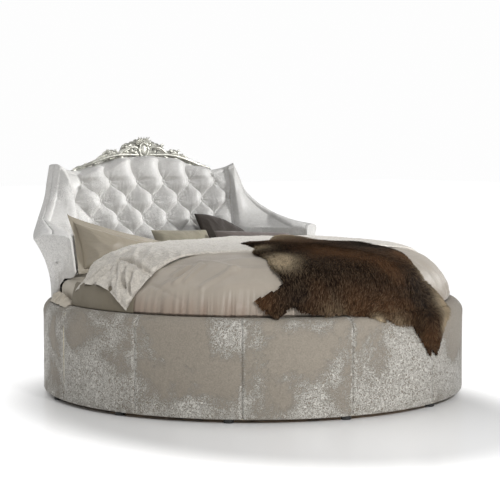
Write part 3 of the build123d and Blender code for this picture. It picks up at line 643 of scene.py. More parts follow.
def outer_radius(angle, height):
    share = max(height - RING_TOP, 0) / (top_edge(angle) - RING_TOP)
    return HEAD_RADIUS + FLARE * flare_line(angle) * share ** FLARE_POWER


def front_at(height):
    return FRONT_DEPTH + FRONT_LEAN * (height - LEAN_FROM)


def ledge_share(angle, height):
    """how far the wing's face has leaned out above its ledge, as a share of the way to its top"""
    rise = top_edge(angle) - ROLL_DROP - LEDGE
    if height <= LEDGE or rise <= 0:
        return 0
    return min((height - LEDGE) / rise, 1) ** LEDGE_POWER * min(rise / LEDGE_FADE, 1)


def inner_radius(angle, height):
    """the front plane in the middle, then a wing face that runs straight to the arm, leans out above its
    ledge and is rounded into the front"""
    a, depth = abs(angle), front_at(height)
    bend = math.degrees(math.atan2(FRONT_HALF, depth))
    share = ledge_share(angle, height)
    rounding = 0.022 * math.exp(-((a - bend) / 6.0) ** 2) * (1 - share)
    if a <= bend:
        radius = depth / math.cos(math.radians(a)) - rounding
    else:
        arm = polar(ARM, ARM_DEPTH + ARM_LEAN * (height - LEAN_FROM))
        run_x, run_y = arm.x - FRONT_HALF, arm.y - depth
        x, y = math.sin(math.radians(a)), math.cos(math.radians(a))
        radius = (FRONT_HALF * run_y - depth * run_x) / (x * run_y - y * run_x)
        wall = outer_radius(angle, height) - WING_WALL
        opened = min(depth / y, wall) - 0.018 * math.exp(-((depth / y - wall) / 0.03) ** 2)
        radius += max(opened - radius, 0) * share - rounding
    return min(radius, outer_radius(angle, height) - EDGE_LEAST)


def roll_height(angle):
    return ROLL_RISE + ROLL_GROWTH * max(abs(angle) - CORNER, 0) / (ARM - CORNER)


def head_front(angle, w):
    """(radius, height) from the middle of the top roll down the front and under the pad to its neck"""
    top = top_edge(angle)
    outer, inner = outer_radius(angle, top), inner_radius(angle, top - ROLL_DROP)
    if w < ROLL_END:
        a = w / ROLL_SPAN * math.pi / 2
        rise = roll_height(angle) + ROLL_DROP * math.sin(a)
        return (between((outer + inner) / 2, inner, math.sin(a) ** 0.9),
                top - ROLL_DROP * math.sin(a) + rise * max(math.cos(a), 0) ** 0.8)
    bend = min(PAD_BEND, 0.8 * (NECK - inner_radius(angle, PAD_BOTTOM + PAD_BEND)))
    low = PAD_BOTTOM + bend
    if w < FACE_END:
        height = between(top - ROLL_DROP, low, (w - ROLL_END) / FACE_SPAN)
        return inner_radius(angle, height), height
    if w < BEND_END:
        a = (w - FACE_END) / BEND_SPAN * math.pi / 2
        return (inner_radius(angle, low) + bend - bend * math.cos(a), low - bend * math.sin(a))
    inner = inner_radius(angle, low) + bend
    if w < UNDER_END:
        return between(inner, NECK, (w - BEND_END) / UNDER_SPAN), PAD_BOTTOM
    return NECK, between(PAD_BOTTOM, HEAD_FOOT, (w - UNDER_END) / UNDER_SPAN)


def head_back(angle, w):
    """(radius, height) from the ring up the back to the middle of the top roll"""
    top = top_edge(angle)
    if w < BACK_END:
        height = between(HEAD_FOOT, top, w / BACK_END)
        return outer_radius(angle, height), height
    outer, inner = outer_radius(angle, top), inner_radius(angle, top - ROLL_DROP)
    a = (w - BACK_END) / ROLL_SPAN * math.pi / 2
    return (between((outer + inner) / 2, outer, math.cos(a) ** 0.9), top + roll_height(angle) * math.sin(a) ** 0.8)


def along(places, share):
    """reads evenly numbered places: the share of their cells, with straight runs between"""
    at = share * sum(count for _, count in places[:-1])
    for (low, count), (high, _) in zip(places, places[1:]):
        if at <= count + 1e-9:
            return between(low, high, at / count)
        at -= count
    return places[-1][0]


def head_core(p):
    """a place inside the headboard's thickness, level with p"""
    angle = math.degrees(math.atan2(p.x, p.y))
    height = min(max(p.z, 0.62), top_edge(angle) - 0.03)
    return polar(angle, (outer_radius(angle, height) + inner_radius(angle, height)) / 2, height)


def cloth_ripple(x, y, z, size):
    return size * (0.6 * bumps(x * 6, y * 6, z * 6) + 0.4 * bumps(x * 19, y * 19, z * 19))


def build_headboard_back():
    stops = ((-ARM, 44), (-CORNER, 100), (CORNER, 44), (ARM, 0))

    def place(u, w):
        angle = along(stops, u)
        radius, height = head_back(angle, w)
        p = polar(angle, radius, height)
        out = cloth_ripple(p.x, p.y, p.z, 0.0014) * ease(height, 0.5, 0.56)
        for seam in (-CORNER, 0, CORNER):
            out -= 0.0016 * math.exp(-abs(angle - seam) * 0.02 / 0.006)
        return polar(angle, radius + min(max(out, -0.0004), 0.001) + 0.0006, height)

    bm = new_mesh()
    add_grid(bm, 188, 64, place)
    settle(bm, head_core, wall=COVER_WALL)
    piece("headboard_back", bm, silver_satin(), "headboard_satin", "headboard_back_cover")


def build_wings():
    for side, name in ((-1, "left"), (1, "right")):
        stops = ((SEAM + 0.03, 8), (CORNER, 84), (ARM, 0))

        def place(u, w):
            angle = side * along(stops, u)
            radius, height = head_front(angle, w)
            p = polar(angle, radius, height)
            face = ease(w, 0.05, 0.13) * (1 - ease(w, 0.88, 0.93))
            away = ease(abs(angle), SEAM, SEAM + 3)
            fold = 0.003 * ease(height, 0.80, 0.62) * ridges(p.x * 9, p.y * 9, p.z * 5)
            pull = (cloth_ripple(p.x, p.y, p.z, 0.003) + fold) * away + wing_lift(p, angle)
            way = Vector((0, -1, FRONT_LEAN)).lerp(Vector((-p.x / radius, -p.y / radius, 0.1)), away).normalized()
            return p + way * (pull * face)

        bm = new_mesh()
        add_grid(bm, 92, 110, place)
        settle(bm, head_core, wall=COVER_WALL)
        wing = piece(f"wing_{name}", bm, silver_satin(), "headboard_satin", f"wing_cover_{name}",
                     f"wing_foam_{name}")
        build_arm_facing(side, name)


def arm_outline():
    line = [head_back(ARM, k / 40) for k in range(41)] + [head_front(ARM, k / 56) for k in range(1, 57)]
    return line + [(between(NECK, HEAD_RADIUS, k / 6), HEAD_FOOT) for k in range(1, 6)]


def build_arm_facing(side, name):
    outline = arm_outline()
    count = len(outline)
    middle = (1.075, 0.70)

    def place(u, w):
        radius, height = outline[round(u * count) % count]
        plump = math.sqrt(max(1 - (1 - min(w / 0.2, 1)) ** 2, 0))
        share = 1 - 0.02 * plump if w < 0.2 else between(0.98, 0, (w - 0.2) / 0.8)
        depth = 0.020 * plump + 0.010 * ease(w, 0.2, 0.7)
        angle = side * (ARM + 0.04 + math.degrees(depth / 1.1))
        ripple = cloth_ripple(radius * 3, height * 3, side, 0.0016) * ease(w, 0.15, 0.3)
        angle += side * math.degrees(ripple)
        return polar(angle, between(middle[0], radius, share), between(middle[1], height, share))

    bm = new_mesh()
    add_grid(bm, count, 40, place)
    settle(bm, lambda p: polar(side * (ARM - 2), middle[0], middle[1]), wall=COVER_WALL)
    facing = piece(f"arm_front_{name}", bm, silver_satin(), "headboard_satin", f"arm_facing_{name}")


# Tufted front

PITCH, NARROWING, ROW_STEP, FIRST_ROW = 0.194, 0.077, 0.110, 1.118
TUFT_SKEW, BUTTON_ROWS, BUTTON_LIFT = 1.5, 5, 0.001


def tuft_pitch(z):
    """distance between the buttons of a row at height z"""
    return PITCH - NARROWING * (FIRST_ROW - z)


def tuft_border(v):
    """where the tufts end at the sides: the outer buttons are in and out by turns"""
    return 2.5 + 0.5 * (1 - abs(v % 2 - 1)) if v > 0 else 2.5


def side_lift(beyond, z, angle):
    """the plain padding beside the tufts, which dies away along the wing"""
    lift = 0.55 * sizes().tuft_depth * (1 - math.exp(-beyond / 0.030)) * (1 - ease(beyond, 0.10, 0.34))
    return lift * math.sqrt(min(max((top_edge(angle) - 0.016 - z) / 0.06, 0), 1))


def wing_lift(p, angle):
    v = (FIRST_ROW - p.z) / ROW_STEP
    past = abs(p.x) - FRONT_HALF
    if past > 0:
        past = math.hypot(past, max(front_at(p.z) - p.y, 0))
    beyond = FRONT_HALF - tuft_border(v) * tuft_pitch(p.z) + past
    return side_lift(max(beyond, 0), p.z, angle)


def tuft_lift(x, z, angle):
    pitch = tuft_pitch(z)
    s, v = x / pitch, (FIRST_ROW - z) / ROW_STEP
    depth = sizes().tuft_depth
    row = math.floor(max(v, 0))
    sway = row + between(v - row, ease(v - row, 0, 1), 1.25) if v > 0 else 0
    up, down = s + sway / 2 + 0.5, s - sway / 2 + 0.5
    cross = math.sin(math.pi * (up % 1) ** TUFT_SKEW) * math.sin(math.pi * (down % 1) ** TUFT_SKEW)
    lift = depth * max(cross, 0) ** 0.5
    fold = 1 - min(abs(math.sin(math.pi * up)), abs(math.sin(math.pi * down)))
    lift += 0.0032 * (ridges(x * 55 + 3 * bumps(x * 5, z * 5, 8.0), z * 9, 2.0) - 0.5) * (0.2 + 0.8 * fold)
    if v < 0:
        rise = (z - FIRST_ROW) / max(top_edge(angle) - FIRST_ROW, 0.02)
        lobe = math.sin(math.pi * ((s + 0.5 + 0.16 * math.sin(2.6 * rise)) % 1) ** TUFT_SKEW)
        end = top_edge(angle) + 0.020 - 0.026 * (1 - lobe ** 0.8)
        lift = between(depth * max(cross, 0) ** 0.5, depth * max(lobe, 0) ** 0.6, ease(v, 0, -0.25))
        lift *= math.sqrt(min(max((end - z) / 0.030, 0), 1))
    beyond = (abs(s) - tuft_border(v)) * pitch
    if beyond > 0:
        lift = side_lift(beyond, z, angle)
    near_up, near_down = round(up), round(down)
    s0, v0 = (near_up + near_down) / 2 - 0.5, near_up - near_down
    if 0 <= v0 < BUTTON_ROWS and abs(s0) <= tuft_border(v0) + 0.01:
        dx, dz = (s - s0) * pitch, (v - v0) * ROW_STEP
        d = math.hypot(dx, dz)
        way = math.atan2(dz, dx)
        lift -= 0.006 * math.exp(-(d / 0.016) ** 2)
        fan = math.cos(9 * way + 5 * bumps(s0 * 3.1, v0 * 2.3, 4.0))
        lift += 0.0036 * fan * math.exp(-d / 0.035) * (1 - math.exp(-(d / 0.012) ** 2))
    return lift + 0.0012 * bumps(x * 28, z * 28, 0.5) * min(lift / 0.01, 1)


def build_tufted_front():
    columns, rows = 372, 250
    norm = math.hypot(1, FRONT_LEAN)

    def place(u, w):
        angle = between(-SEAM, SEAM, u)
        w = w * w * 0.12 + w * 0.88 if w < 1 else 1.0
        radius, height = head_front(angle, w)
        p = polar(angle, radius, height)
        if 0.01 < w < 0.93:
            lift = tuft_lift(p.x, max(p.z, 0.6), angle) * ease(w, 0.01, 0.05) * (1 - ease(w, 0.88, 0.93))
            p += Vector((0, -lift / norm, lift * FRONT_LEAN / norm))
        return p

    bm = new_mesh()
    add_grid(bm, columns, rows, place)
    settle(bm, head_core)
    front = piece("tufted_front", bm, silver_satin(), "headboard_satin", "tufted_cover", "centre_foam")
    build_buttons(norm)


def build_buttons(norm):
    bm = new_mesh()
    radius = sizes().button_radius
    flat = Matrix.Diagonal((radius, radius, radius * 0.55, 1))
    tilt = Matrix.Rotation(math.radians(90) + math.atan(FRONT_LEAN), 4, "X")
    for row in range(BUTTON_ROWS):
        count = 7 if row % 2 else 6
        z = FIRST_ROW - row * ROW_STEP
        for k in range(count):
            x = (k - (count - 1) / 2) * tuft_pitch(z)
            spot = Matrix.Translation((x, front_at(z) - BUTTON_LIFT / norm, z + BUTTON_LIFT * FRONT_LEAN / norm))
            bmesh.ops.create_uvsphere(bm, u_segments=20, v_segments=12, radius=1, matrix=spot @ tilt @ flat,
                                      calc_uvs=True)
    settle(bm)
    piece("covered_buttons", bm, silver_satin(), "headboard_satin", "tuft_buttons")


# Crest

CREST_FRONT = 1.065
CREST_SHARES = ((0, 0.97), (0.08, 0.95), (0.16, 0.89), (0.24, 0.84), (0.27, 0.82), (0.30, 0.71), (0.34, 0.66),
                (0.40, 0.70), (0.46, 0.71), (0.52, 0.67), (0.56, 0.57), (0.62, 0.49), (0.68, 0.45), (0.76, 0.38),
                (0.84, 0.31), (0.92, 0.26), (1, 0.17))
CREST_HALF, CREST_LOW, CREST_RISE = 0.52, 1.13, 0.258
crest_line = smooth_line([s * CREST_HALF for s, h in CREST_SHARES],
                         [CREST_LOW + h * CREST_RISE for s, h in CREST_SHARES], True)
# Scrolls: where each starts and ends, with its shares of the crest's height, its turns, bow and thickness
CREST_SCROLLS = ((0.045, 0.5, 0.175, 0.55, -1.0, -0.75, 0.0095), (0.155, 0.25, 0.265, 0.45, 1.0, 0.9, 0.0085),
                 (0.245, 0.45, 0.345, 0.5, -1.1, -0.9, 0.008), (0.345, 0.3, 0.425, 0.4, 1.1, 1.0, 0.007),
                 (0.430, 0.5, 0.495, 0.5, -1.2, -1.0, 0.0055))
CREST_CURLS = ((0.137, 0.013), (0.205, 0.010), (0.262, 0.012), (0.372, 0.009), (0.452, 0.011))
CREST_BRANCHES = ((0.075, 0.55, 0.075, 0.016), (0.2, 0.5, 0.07, 0.015), (0.3, 0.35, 0.065, 0.013),
                  (0.385, 0.45, 0.06, 0.012), (0.46, 0.3, 0.055, 0.009))


def head_seat(x):
    """height of the headboard's roll under the crest"""
    angle = math.degrees(math.atan2(x, 1.078))
    return top_edge(angle) + roll_height(angle)


def crest_point(x, z, depth):
    return Vector((x, CREST_FRONT - depth, z))


def scroll_path(start, end, turns, bow):
    """points of a scroll whose two ends curl in; start and end are (x, z) places of its outer bends"""
    count, heading, spot, points = 60, 0.0, 0j, [0j]
    for k in range(count):
        w = (k + 0.5) / count * 2 - 1
        bend = bow + turns * 5.2 * abs(w) ** 3.2
        heading += bend * 2 / count
        pace = 1 - 0.82 * abs(w) ** 2.2
        spot += pace * complex(math.cos(heading), math.sin(heading))
        points.append(spot)
    low, high = points[int(count * 0.16)], points[int(count * 0.84)]
    turn = complex(end[0] - start[0], end[1] - start[1]) / (high - low)
    return [complex(*start) + (p - low) * turn for p in points]


def add_rod(bm, points, thick, depth):
    """a rounded strap along points in the crest's plane, thickest in its middle"""
    last = len(points) - 1

    def place(u, w):
        k = min(round(w * last), last)
        ahead = points[min(k + 1, last)] - points[max(k - 1, 0)]
        ahead /= abs(ahead) or 1
        share = w * 2 - 1
        size = thick * (1 - 0.55 * abs(share) ** 1.5) * (1.0 if 0 < k < last else 0.01)
        a = u * 2 * math.pi
        across = points[k] + ahead * 1j * size * math.cos(a)
        return crest_point(across.real, across.imag, depth + size * 1.25 * math.sin(a))

    add_grid(bm, 9, last, place)


def add_leaf(bm, base, tip, width, bow, depth, lobes=5):
    """a lobed, ribbed leaf from base to tip, bowed to one side"""
    a, b = complex(*base), complex(*tip)
    way = b - a

    def place(u, w):
        side = u * 2 - 1
        spine = a + way * w + way * 1j * bow * math.sin(math.pi * w)
        cut = 1 - 0.30 * abs(math.sin(math.pi * lobes * w)) ** 2
        half = width * math.sin(math.pi * min(w * 0.92 + 0.06, 1)) ** 0.75 * cut
        spot = spine + way / abs(way) * (1j * half * side - abs(side) * half * 0.5)
        swell = (1 - abs(side) ** 1.5) * 0.7 + 0.22 * math.cos(side * 7)
        return crest_point(spot.real, spot.imag, depth + width * 0.55 * swell + 0.006 * w * w)

    add_grid(bm, 12, 22, place)


def build_crest():
    finish = silver_leaf()
    build_crest_board(finish)
    for side, name in ((-1, "left"), (1, "right")):
        bm = new_mesh()

        def leaf(base, tip, width, bow, depth):
            add_leaf(bm, (side * base[0], base[1]), (side * tip[0], tip[1]), width, side * bow, depth)

        def up(x, share):
            return between(head_seat(x) - 0.004, crest_line(x), share)

        for start, low, end, high, turns, bow, thick in CREST_SCROLLS:
            path = scroll_path((start, up(start, low)), (end, up(end, high)), turns, bow)
            add_rod(bm, [complex(side * p.real, p.imag) for p in path], thick, 0.006)
        for k in range(15):
            x = 0.035 + k * 0.0325
            tall = (crest_line(x) - head_seat(x)) * (0.60 + 0.18 * bumps(k * 3.7, side, 0))
            lean = 0.022 + 0.02 * bumps(k * 1.9, 2.0, side)
            foot = head_seat(x) + 0.25 * tall
            leaf((x, foot), (x + lean, foot + tall * 0.84), 0.013 + 0.005 * abs(bumps(k, 5, 1)), -0.16, 0.003)
        for x, size in CREST_CURLS:
            curl = [complex(side * (x + size * (1 - k / 26) * math.cos(k / 3.2)),
                            crest_line(x) - size * 0.9 + size * (1 - k / 26) * math.sin(k / 3.2)) for k in range(25)]
            add_rod(bm, curl, size * 0.42, 0.012)
        for x, rise, reach, width in CREST_BRANCHES:
            leaf((x, up(x, rise)), (x + reach, up(x + reach, rise * 0.9)), width, 0.18, 0.008)
        add_rib(bm, side)
        settle(bm, lambda p: Vector((p.x, CREST_FRONT + 0.03, p.z)))
        piece(f"crest_carving_{name}", bm, finish, "silver_leaf", f"crest_scroll_{name}")
    build_cartouche(finish)


def add_rib(bm, side):
    """the smooth moulding that sweeps from the end up to the middle along the crest's foot"""
    points = []
    for k in range(70):
        x = between(0.505, 0.03, k / 69)
        points.append(complex(side * x, head_seat(x) + 0.010 + 0.014 * math.sin(k / 69 * math.pi) ** 2))
    add_rod(bm, points, 0.0115, 0.009)


def build_crest_board(finish):
    """the carved ground behind the scrolls, closed at its back"""
    columns, rows = 260, 26

    def place(u, w):
        x = between(-0.515, 0.515, u)
        foot, top = head_seat(x) - 0.008, crest_line(abs(x))
        ragged = 0.006 * abs(math.sin(x * 95)) + 0.004 * abs(math.sin(x * 210 + 1))
        z = between(foot, max(top - 0.010 + ragged, foot + 0.01), w)
        edge = ease(w, 1.0, 0.86)
        relief = 0.007 * ridges(x * 34, z * 34, 3) + 0.004 * ridges(x * 80, z * 80, 1)
        return crest_point(x, z, -0.012 + (relief + 0.006) * edge)

    bm = new_mesh()
    add_grid(bm, columns, rows, place)
    settle(bm, lambda p: Vector((p.x, CREST_FRONT + 0.05, p.z)), wall=0.012)
    piece("crest_ground", bm, finish, "silver_leaf", "crest_board")


def build_cartouche(finish):
    """the fluted shield in its rim, with a fan of leaves above it and sprays beside it"""
    bm, deep, middle = new_mesh(), sizes().carving_depth, 1.3085

    def shield(u, w):
        a = u * 2 * math.pi
        dome = math.sqrt(max(1 - w * w, 0))
        x, z = 0.026 * w * math.cos(a), 0.036 * w * math.sin(a)
        fluted = 0.0016 * math.cos(a * 10) * w
        return crest_point(x, middle + z, 0.006 + (deep - 0.004) * dome * 0.8 + fluted)

    def rim(u, w):
        a, b = u * 2 * math.pi, w * 2 * math.pi
        wave = 1 + 0.06 * math.cos(a * 8)
        x, z = (0.031 + 0.007 * math.cos(b)) * wave * math.cos(a), (0.042 + 0.007 * math.cos(b)) * wave * math.sin(a)
        return crest_point(x, middle + z, 0.010 + 0.008 * math.sin(b))

    add_grid(bm, 48, 12, shield)
    add_grid(bm, 72, 12, rim)
    for k in range(-4, 5):
        a = math.radians(k * 19)
        reach = 0.062 - 0.0035 * abs(k)
        foot = (0.016 * math.sin(a), middle + 0.026 + 0.010 * math.cos(a))
        tip = (foot[0] + reach * math.sin(a) * 0.95, min(foot[1] + reach * math.cos(a), 1.3865))
        add_leaf(bm, foot, tip, 0.0085, 0.05 * (1 if k > 0 else -1), 0.010 - 0.0008 * abs(k), 3)
    for side in (-1, 1):
        for drop, reach in ((0.0, 0.052), (0.022, 0.045), (0.040, 0.036)):
            base = (side * 0.026, middle - drop)
            add_leaf(bm, base, (base[0] + side * reach, base[1] - 0.012), 0.011, -side * 0.22, 0.007, 4)
    settle(bm, lambda p: Vector((0, CREST_FRONT + 0.03, middle)))
    piece("crest_shield", bm, finish, "silver_leaf", "crest_cartouche")


# Bedding laid over the mattress

DUVET_FOOT, DUVET_RISE, DUVET_RADIUS, ROUNDNESS = 0.5046, 0.286, 1.076, 6.5
SHEET_TOP, MATTRESS_TOP = 0.6023, 0.600
EDGE_FROM, EDGE_ROUND, EDGE_MIDDLE = 1.005, 0.042, 0.558


class Drape:
    """A round profile from the bed's middle outwards. Cloth is laid on it by flat places: the angle stays,
    and the distance from the middle is measured along the profile."""

    def __init__(self, points):
        self.points = points
        self.lengths = [0.0]
        for (r0, z0), (r1, z1) in zip(points, points[1:]):
            self.lengths.append(self.lengths[-1] + math.hypot(r1 - r0, z1 - z0))

    def put(self, x, y, lift=0.0):
        far = math.hypot(x, y)
        k = max(0, min(bisect(self.lengths, far) - 1, len(self.points) - 2))
        run = self.lengths[k + 1] - self.lengths[k]
        share = min(max((far - self.lengths[k]) / run, 0.0), 1.0)
        (r0, z0), (r1, z1) = self.points[k], self.points[k + 1]
        radius, height = between(r0, r1, share), between(z0, z1, share)
        out, up = self.normal(k, share)
        radius, height = radius + out * lift, height + up * lift
        if far < 1e-9:
            return Vector((0, 0, height))
        return Vector((x / far * radius, y / far * radius, height))

    def normal(self, k, share):
        """the outward normal, turned smoothly between the profile's runs"""
        first, last = max(k - 1, 0), min(k + 2, len(self.points) - 1)
        (a0, b0), (a1, b1) = self.points[first], self.points[k + 1]
        (c0, d0), (c1, d1) = self.points[k], self.points[last]
        run, rise = between(a1 - a0, c1 - c0, share), between(b1 - b0, d1 - d0, share)
        size = math.hypot(run, rise) or 1
        return -rise / size, run / size


def dome_points(radius, rise, low_share=0.0):
    points, count = [], 150
    for k in range(count + 1):
        a = math.pi / 2 * k / count
        if math.cos(a) < low_share:
            break
        points.append((radius * math.sin(a) ** (2 / ROUNDNESS), DUVET_FOOT + rise * math.cos(a)))
    return points


def fur_points():
    points = dome_points(DUVET_RADIUS + 0.013, DUVET_RISE, 0.2)
    reach = SHOULDER + 0.001
    for k in range(59, -1, -3):
        a = math.radians(k)
        points.append((CROWN + reach * math.cos(a), RING_TOP - SHOULDER + reach * math.sin(a)))
    return points + [(BASE_RADIUS + 0.001, 0.3), (BASE_RADIUS + 0.001, 0.1)]


duvet_drape, fur_drape = Drape(dome_points(DUVET_RADIUS, DUVET_RISE)), Drape(fur_points())
RIM = duvet_drape.lengths[-1]

HEAD_FOLD = ((-1.215, 0.180), (-1.133, 0.155), (-1.045, 0.088), (-0.907, 0.102), (-0.71, 0.202), (-0.454, 0.28),
             (-0.158, 0.364), (0.131, 0.375), (0.45, 0.33), (0.71, 0.24), (0.907, 0.15), (1.045, 0.10),
             (1.133, 0.11), (1.215, 0.13))
FREE_EDGE = ((-1.166, -0.329), (-0.996, -0.361), (-0.876, -0.363), (-0.725, -0.353), (-0.645, -0.372),
             (-0.583, -0.413), (-0.504, -0.436), (-0.443, -0.483), (-0.377, -0.54), (-0.2, -0.60), (0.1, -0.625),
             (0.45, -0.57), (0.8, -0.47), (1.02, -0.40), (1.14, -0.35))
head_fold = smooth_line(*zip(*HEAD_FOLD))
free_edge = smooth_line(*zip(*FREE_EDGE))


# Creases seen in the cloth: each has a height, a half width and the flat places that it runs through
DUVET_CREASES = (
    (0.012, 0.014, ((-0.92, -0.515), (-0.84, -0.525), (-0.75, -0.515))),
    (-0.008, 0.010, ((-0.93, -0.49), (-0.80, -0.495))),
    (0.009, 0.012, ((-0.88, -0.555), (-0.75, -0.54))),
    (0.011, 0.018, ((-0.86, -0.65), (-0.76, -0.67), (-0.66, -0.67))),
    (0.008, 0.014, ((-0.88, -0.46), (-0.80, -0.475))),
    (-0.007, 0.008, ((-0.99, -0.40), (-0.98, -0.54), (-0.965, -0.67))),
    (0.010, 0.020, ((-0.72, -0.47), (-0.69, -0.58), (-0.66, -0.68))),
    (0.009, 0.016, ((-1.00, -0.46), (-0.90, -0.50))),
)
FOLD_CREASES = (
    (-0.016, 0.010, ((-0.92, -0.05), (-0.915, -0.15), (-0.935, -0.24), (-0.95, -0.36))),
    (0.010, 0.018, ((-0.89, -0.05), (-0.885, -0.15), (-0.905, -0.24), (-0.92, -0.34))),
    (-0.013, 0.011, ((-0.94, -0.07), (-1.00, -0.13), (-1.07, -0.155), (-1.12, -0.165))),
    (0.013, 0.013, ((-0.97, -0.14), (-1.06, -0.22), (-1.12, -0.26))),
    (-0.011, 0.008, ((-0.96, -0.175), (-1.06, -0.265))),
    (0.012, 0.010, ((-0.965, -0.205), (-1.08, -0.31))),
    (-0.010, 0.008, ((-0.965, -0.24), (-1.06, -0.32))),
    (0.011, 0.010, ((-0.975, -0.28), (-1.08, -0.345))),
    (-0.012, 0.009, ((-1.12, 0.11), (-1.05, 0.03), (-0.98, 0.01))),
    (0.012, 0.011, ((-1.11, 0.05), (-1.05, -0.01), (-0.98, -0.03))),
    (-0.011, 0.009, ((-1.10, -0.01), (-1.05, -0.05), (-0.98, -0.07))),
    (0.010, 0.012, ((-1.10, -0.06), (-1.03, -0.09))),
)


def nearest(line, x, y):
    """distance to an open line, and the nearest place on it"""
    best = (9.0, 0.0, 0.0)
    for (x0, y0), (x1, y1) in zip(line, line[1:]):
        run = (x1 - x0) ** 2 + (y1 - y0) ** 2
        share = min(max(((x - x0) * (x1 - x0) + (y - y0) * (y1 - y0)) / run, 0), 1)
        px, py = between(x0, x1, share), between(y0, y1, share)
        best = min(best, (math.hypot(x - px, y - py), px, py))
    return best


def creased(creases, x, y):
    total = 0.0
    for height, width, line in creases:
        if abs(x - line[0][0]) < 0.4 and abs(y - line[0][1]) < 0.4:
            total += height * math.exp(-(nearest(line, x, y)[0] / width) ** 2)
    return total


def side_panel(angle):
    """1 where the sheet's plain side shows under the folded-back part"""
    return ease(angle, -112, -106) * ease(angle, -74, -80)


def duvet_wrinkle(x, y):
    """height of the duvet's own creases at a flat place"""
    far, angle = math.hypot(x, y), math.atan2(x, y)
    size = sizes().duvet_wrinkle
    soft = 1.1 * size * bumps(x * 2.6, y * 2.6, 7.0) + 0.5 * size * bumps(x * 6.5, y * 6.5, 2.0)
    turned_x, turned_y = x * 0.8 - y * 0.6, x * 0.6 + y * 0.8
    streak = 0.9 * size * (ridges(turned_x * 1.7, turned_y * 7.5, 5.0) - 0.6) * ease(far, 0.35, 0.7)
    rim = ease(far, RIM - 0.16, RIM - 0.03)
    gather = ridges(angle * 30, far * 1.1, 9.0) * 0.6 + ridges(angle * 62, far * 1.6, 3.0) * 0.4
    spread = ease(far, RIM - 0.40, RIM - 0.1) * 0.08
    gathers = sizes().gather_depth * (rim + spread) * (gather - 0.45) * (1 - side_panel(math.degrees(angle)))
    tuck = -0.014 * ease(far, RIM - 0.012, RIM)
    return (soft + streak + creased(DUVET_CREASES, x, y)) * (1 - rim) + gathers + tuck


def under_fold(x, y):
    """how far the duvet lies lower under its folded-back part"""
    behind = y - free_edge(x)
    height = duvet_drape.put(x, y).z
    return 0.040 * ease(behind, 0.012, 0.05) * ease(height, 0.600, 0.625)


def build_duvet():
    middle = Vector((0, -0.35))
    columns, rows = 540, 120

    def way(k):
        """columns lie closest together towards the front left"""
        u = k / columns
        return 2 * math.pi * (u - 0.085 * math.sin(2 * math.pi * (u - 0.62)) - 0.085 * math.sin(2 * math.pi * 0.62))

    def inside(x, y):
        return math.hypot(x, y) < RIM and y < head_fold(x) - 0.012

    reaches = []
    for k in range(columns):
        a = way(k)
        low, high = 0.0, 2.5
        for _ in range(24):
            half = (low + high) / 2
            if inside(middle.x + half * math.sin(a), middle.y + half * math.cos(a)):
                low = half
            else:
                high = half
        reaches.append(low)

    def place(u, w):
        k = round(u * columns) % columns
        a = way(k)
        top = 0.86
        share = math.sin(w / top * math.pi / 2) ** 0.9 if w <= top else 1 - (w - top) / (1 - top)
        reach = reaches[k] * share
        x, y = middle.x + reach * math.sin(a), middle.y + reach * math.cos(a)
        if w <= top:
            return duvet_drape.put(x, y, duvet_wrinkle(x, y) - under_fold(x, y))
        far = math.hypot(x, y)
        p = duvet_drape.put(x, y, -0.012)
        if far < 1.0:
            return Vector((x, y, SHEET_TOP + 0.003))
        side = min(math.hypot(p.x, p.y), 1.062)
        p.x, p.y = p.x * side / math.hypot(p.x, p.y), p.y * side / math.hypot(p.x, p.y)
        p.z = max(min(p.z, SHEET_TOP + 0.003), DUVET_FOOT + 0.001)
        return p

    bm = new_mesh()
    add_grid(bm, columns, rows, place)
    # painted shade: the duvet's low sides near the rim, most at the front left, are mixed towards the darker gathers
    # colour
    painted_shade = bm.verts.layers.float.new("Tint")
    for v in bm.verts:
        angle = math.degrees(math.atan2(v.co.x, v.co.y))
        patch = ease(angle, -104, -108) * ease(angle, -152, -136)
        low = ease(v.co.z, 0.625, 0.52)
        v[painted_shade] = low * (0.25 + 0.75 * patch) * (0.75 + 0.6 * bumps(v.co.x * 25, v.co.y * 25, v.co.z * 4))
    settle(bm, lambda p: Vector((p.x * 0.5, p.y * 0.5 - 0.15, 0.62)))
    duvet = piece("duvet_body", bm, duvet_satin(), "duvet_satin", "duvet")


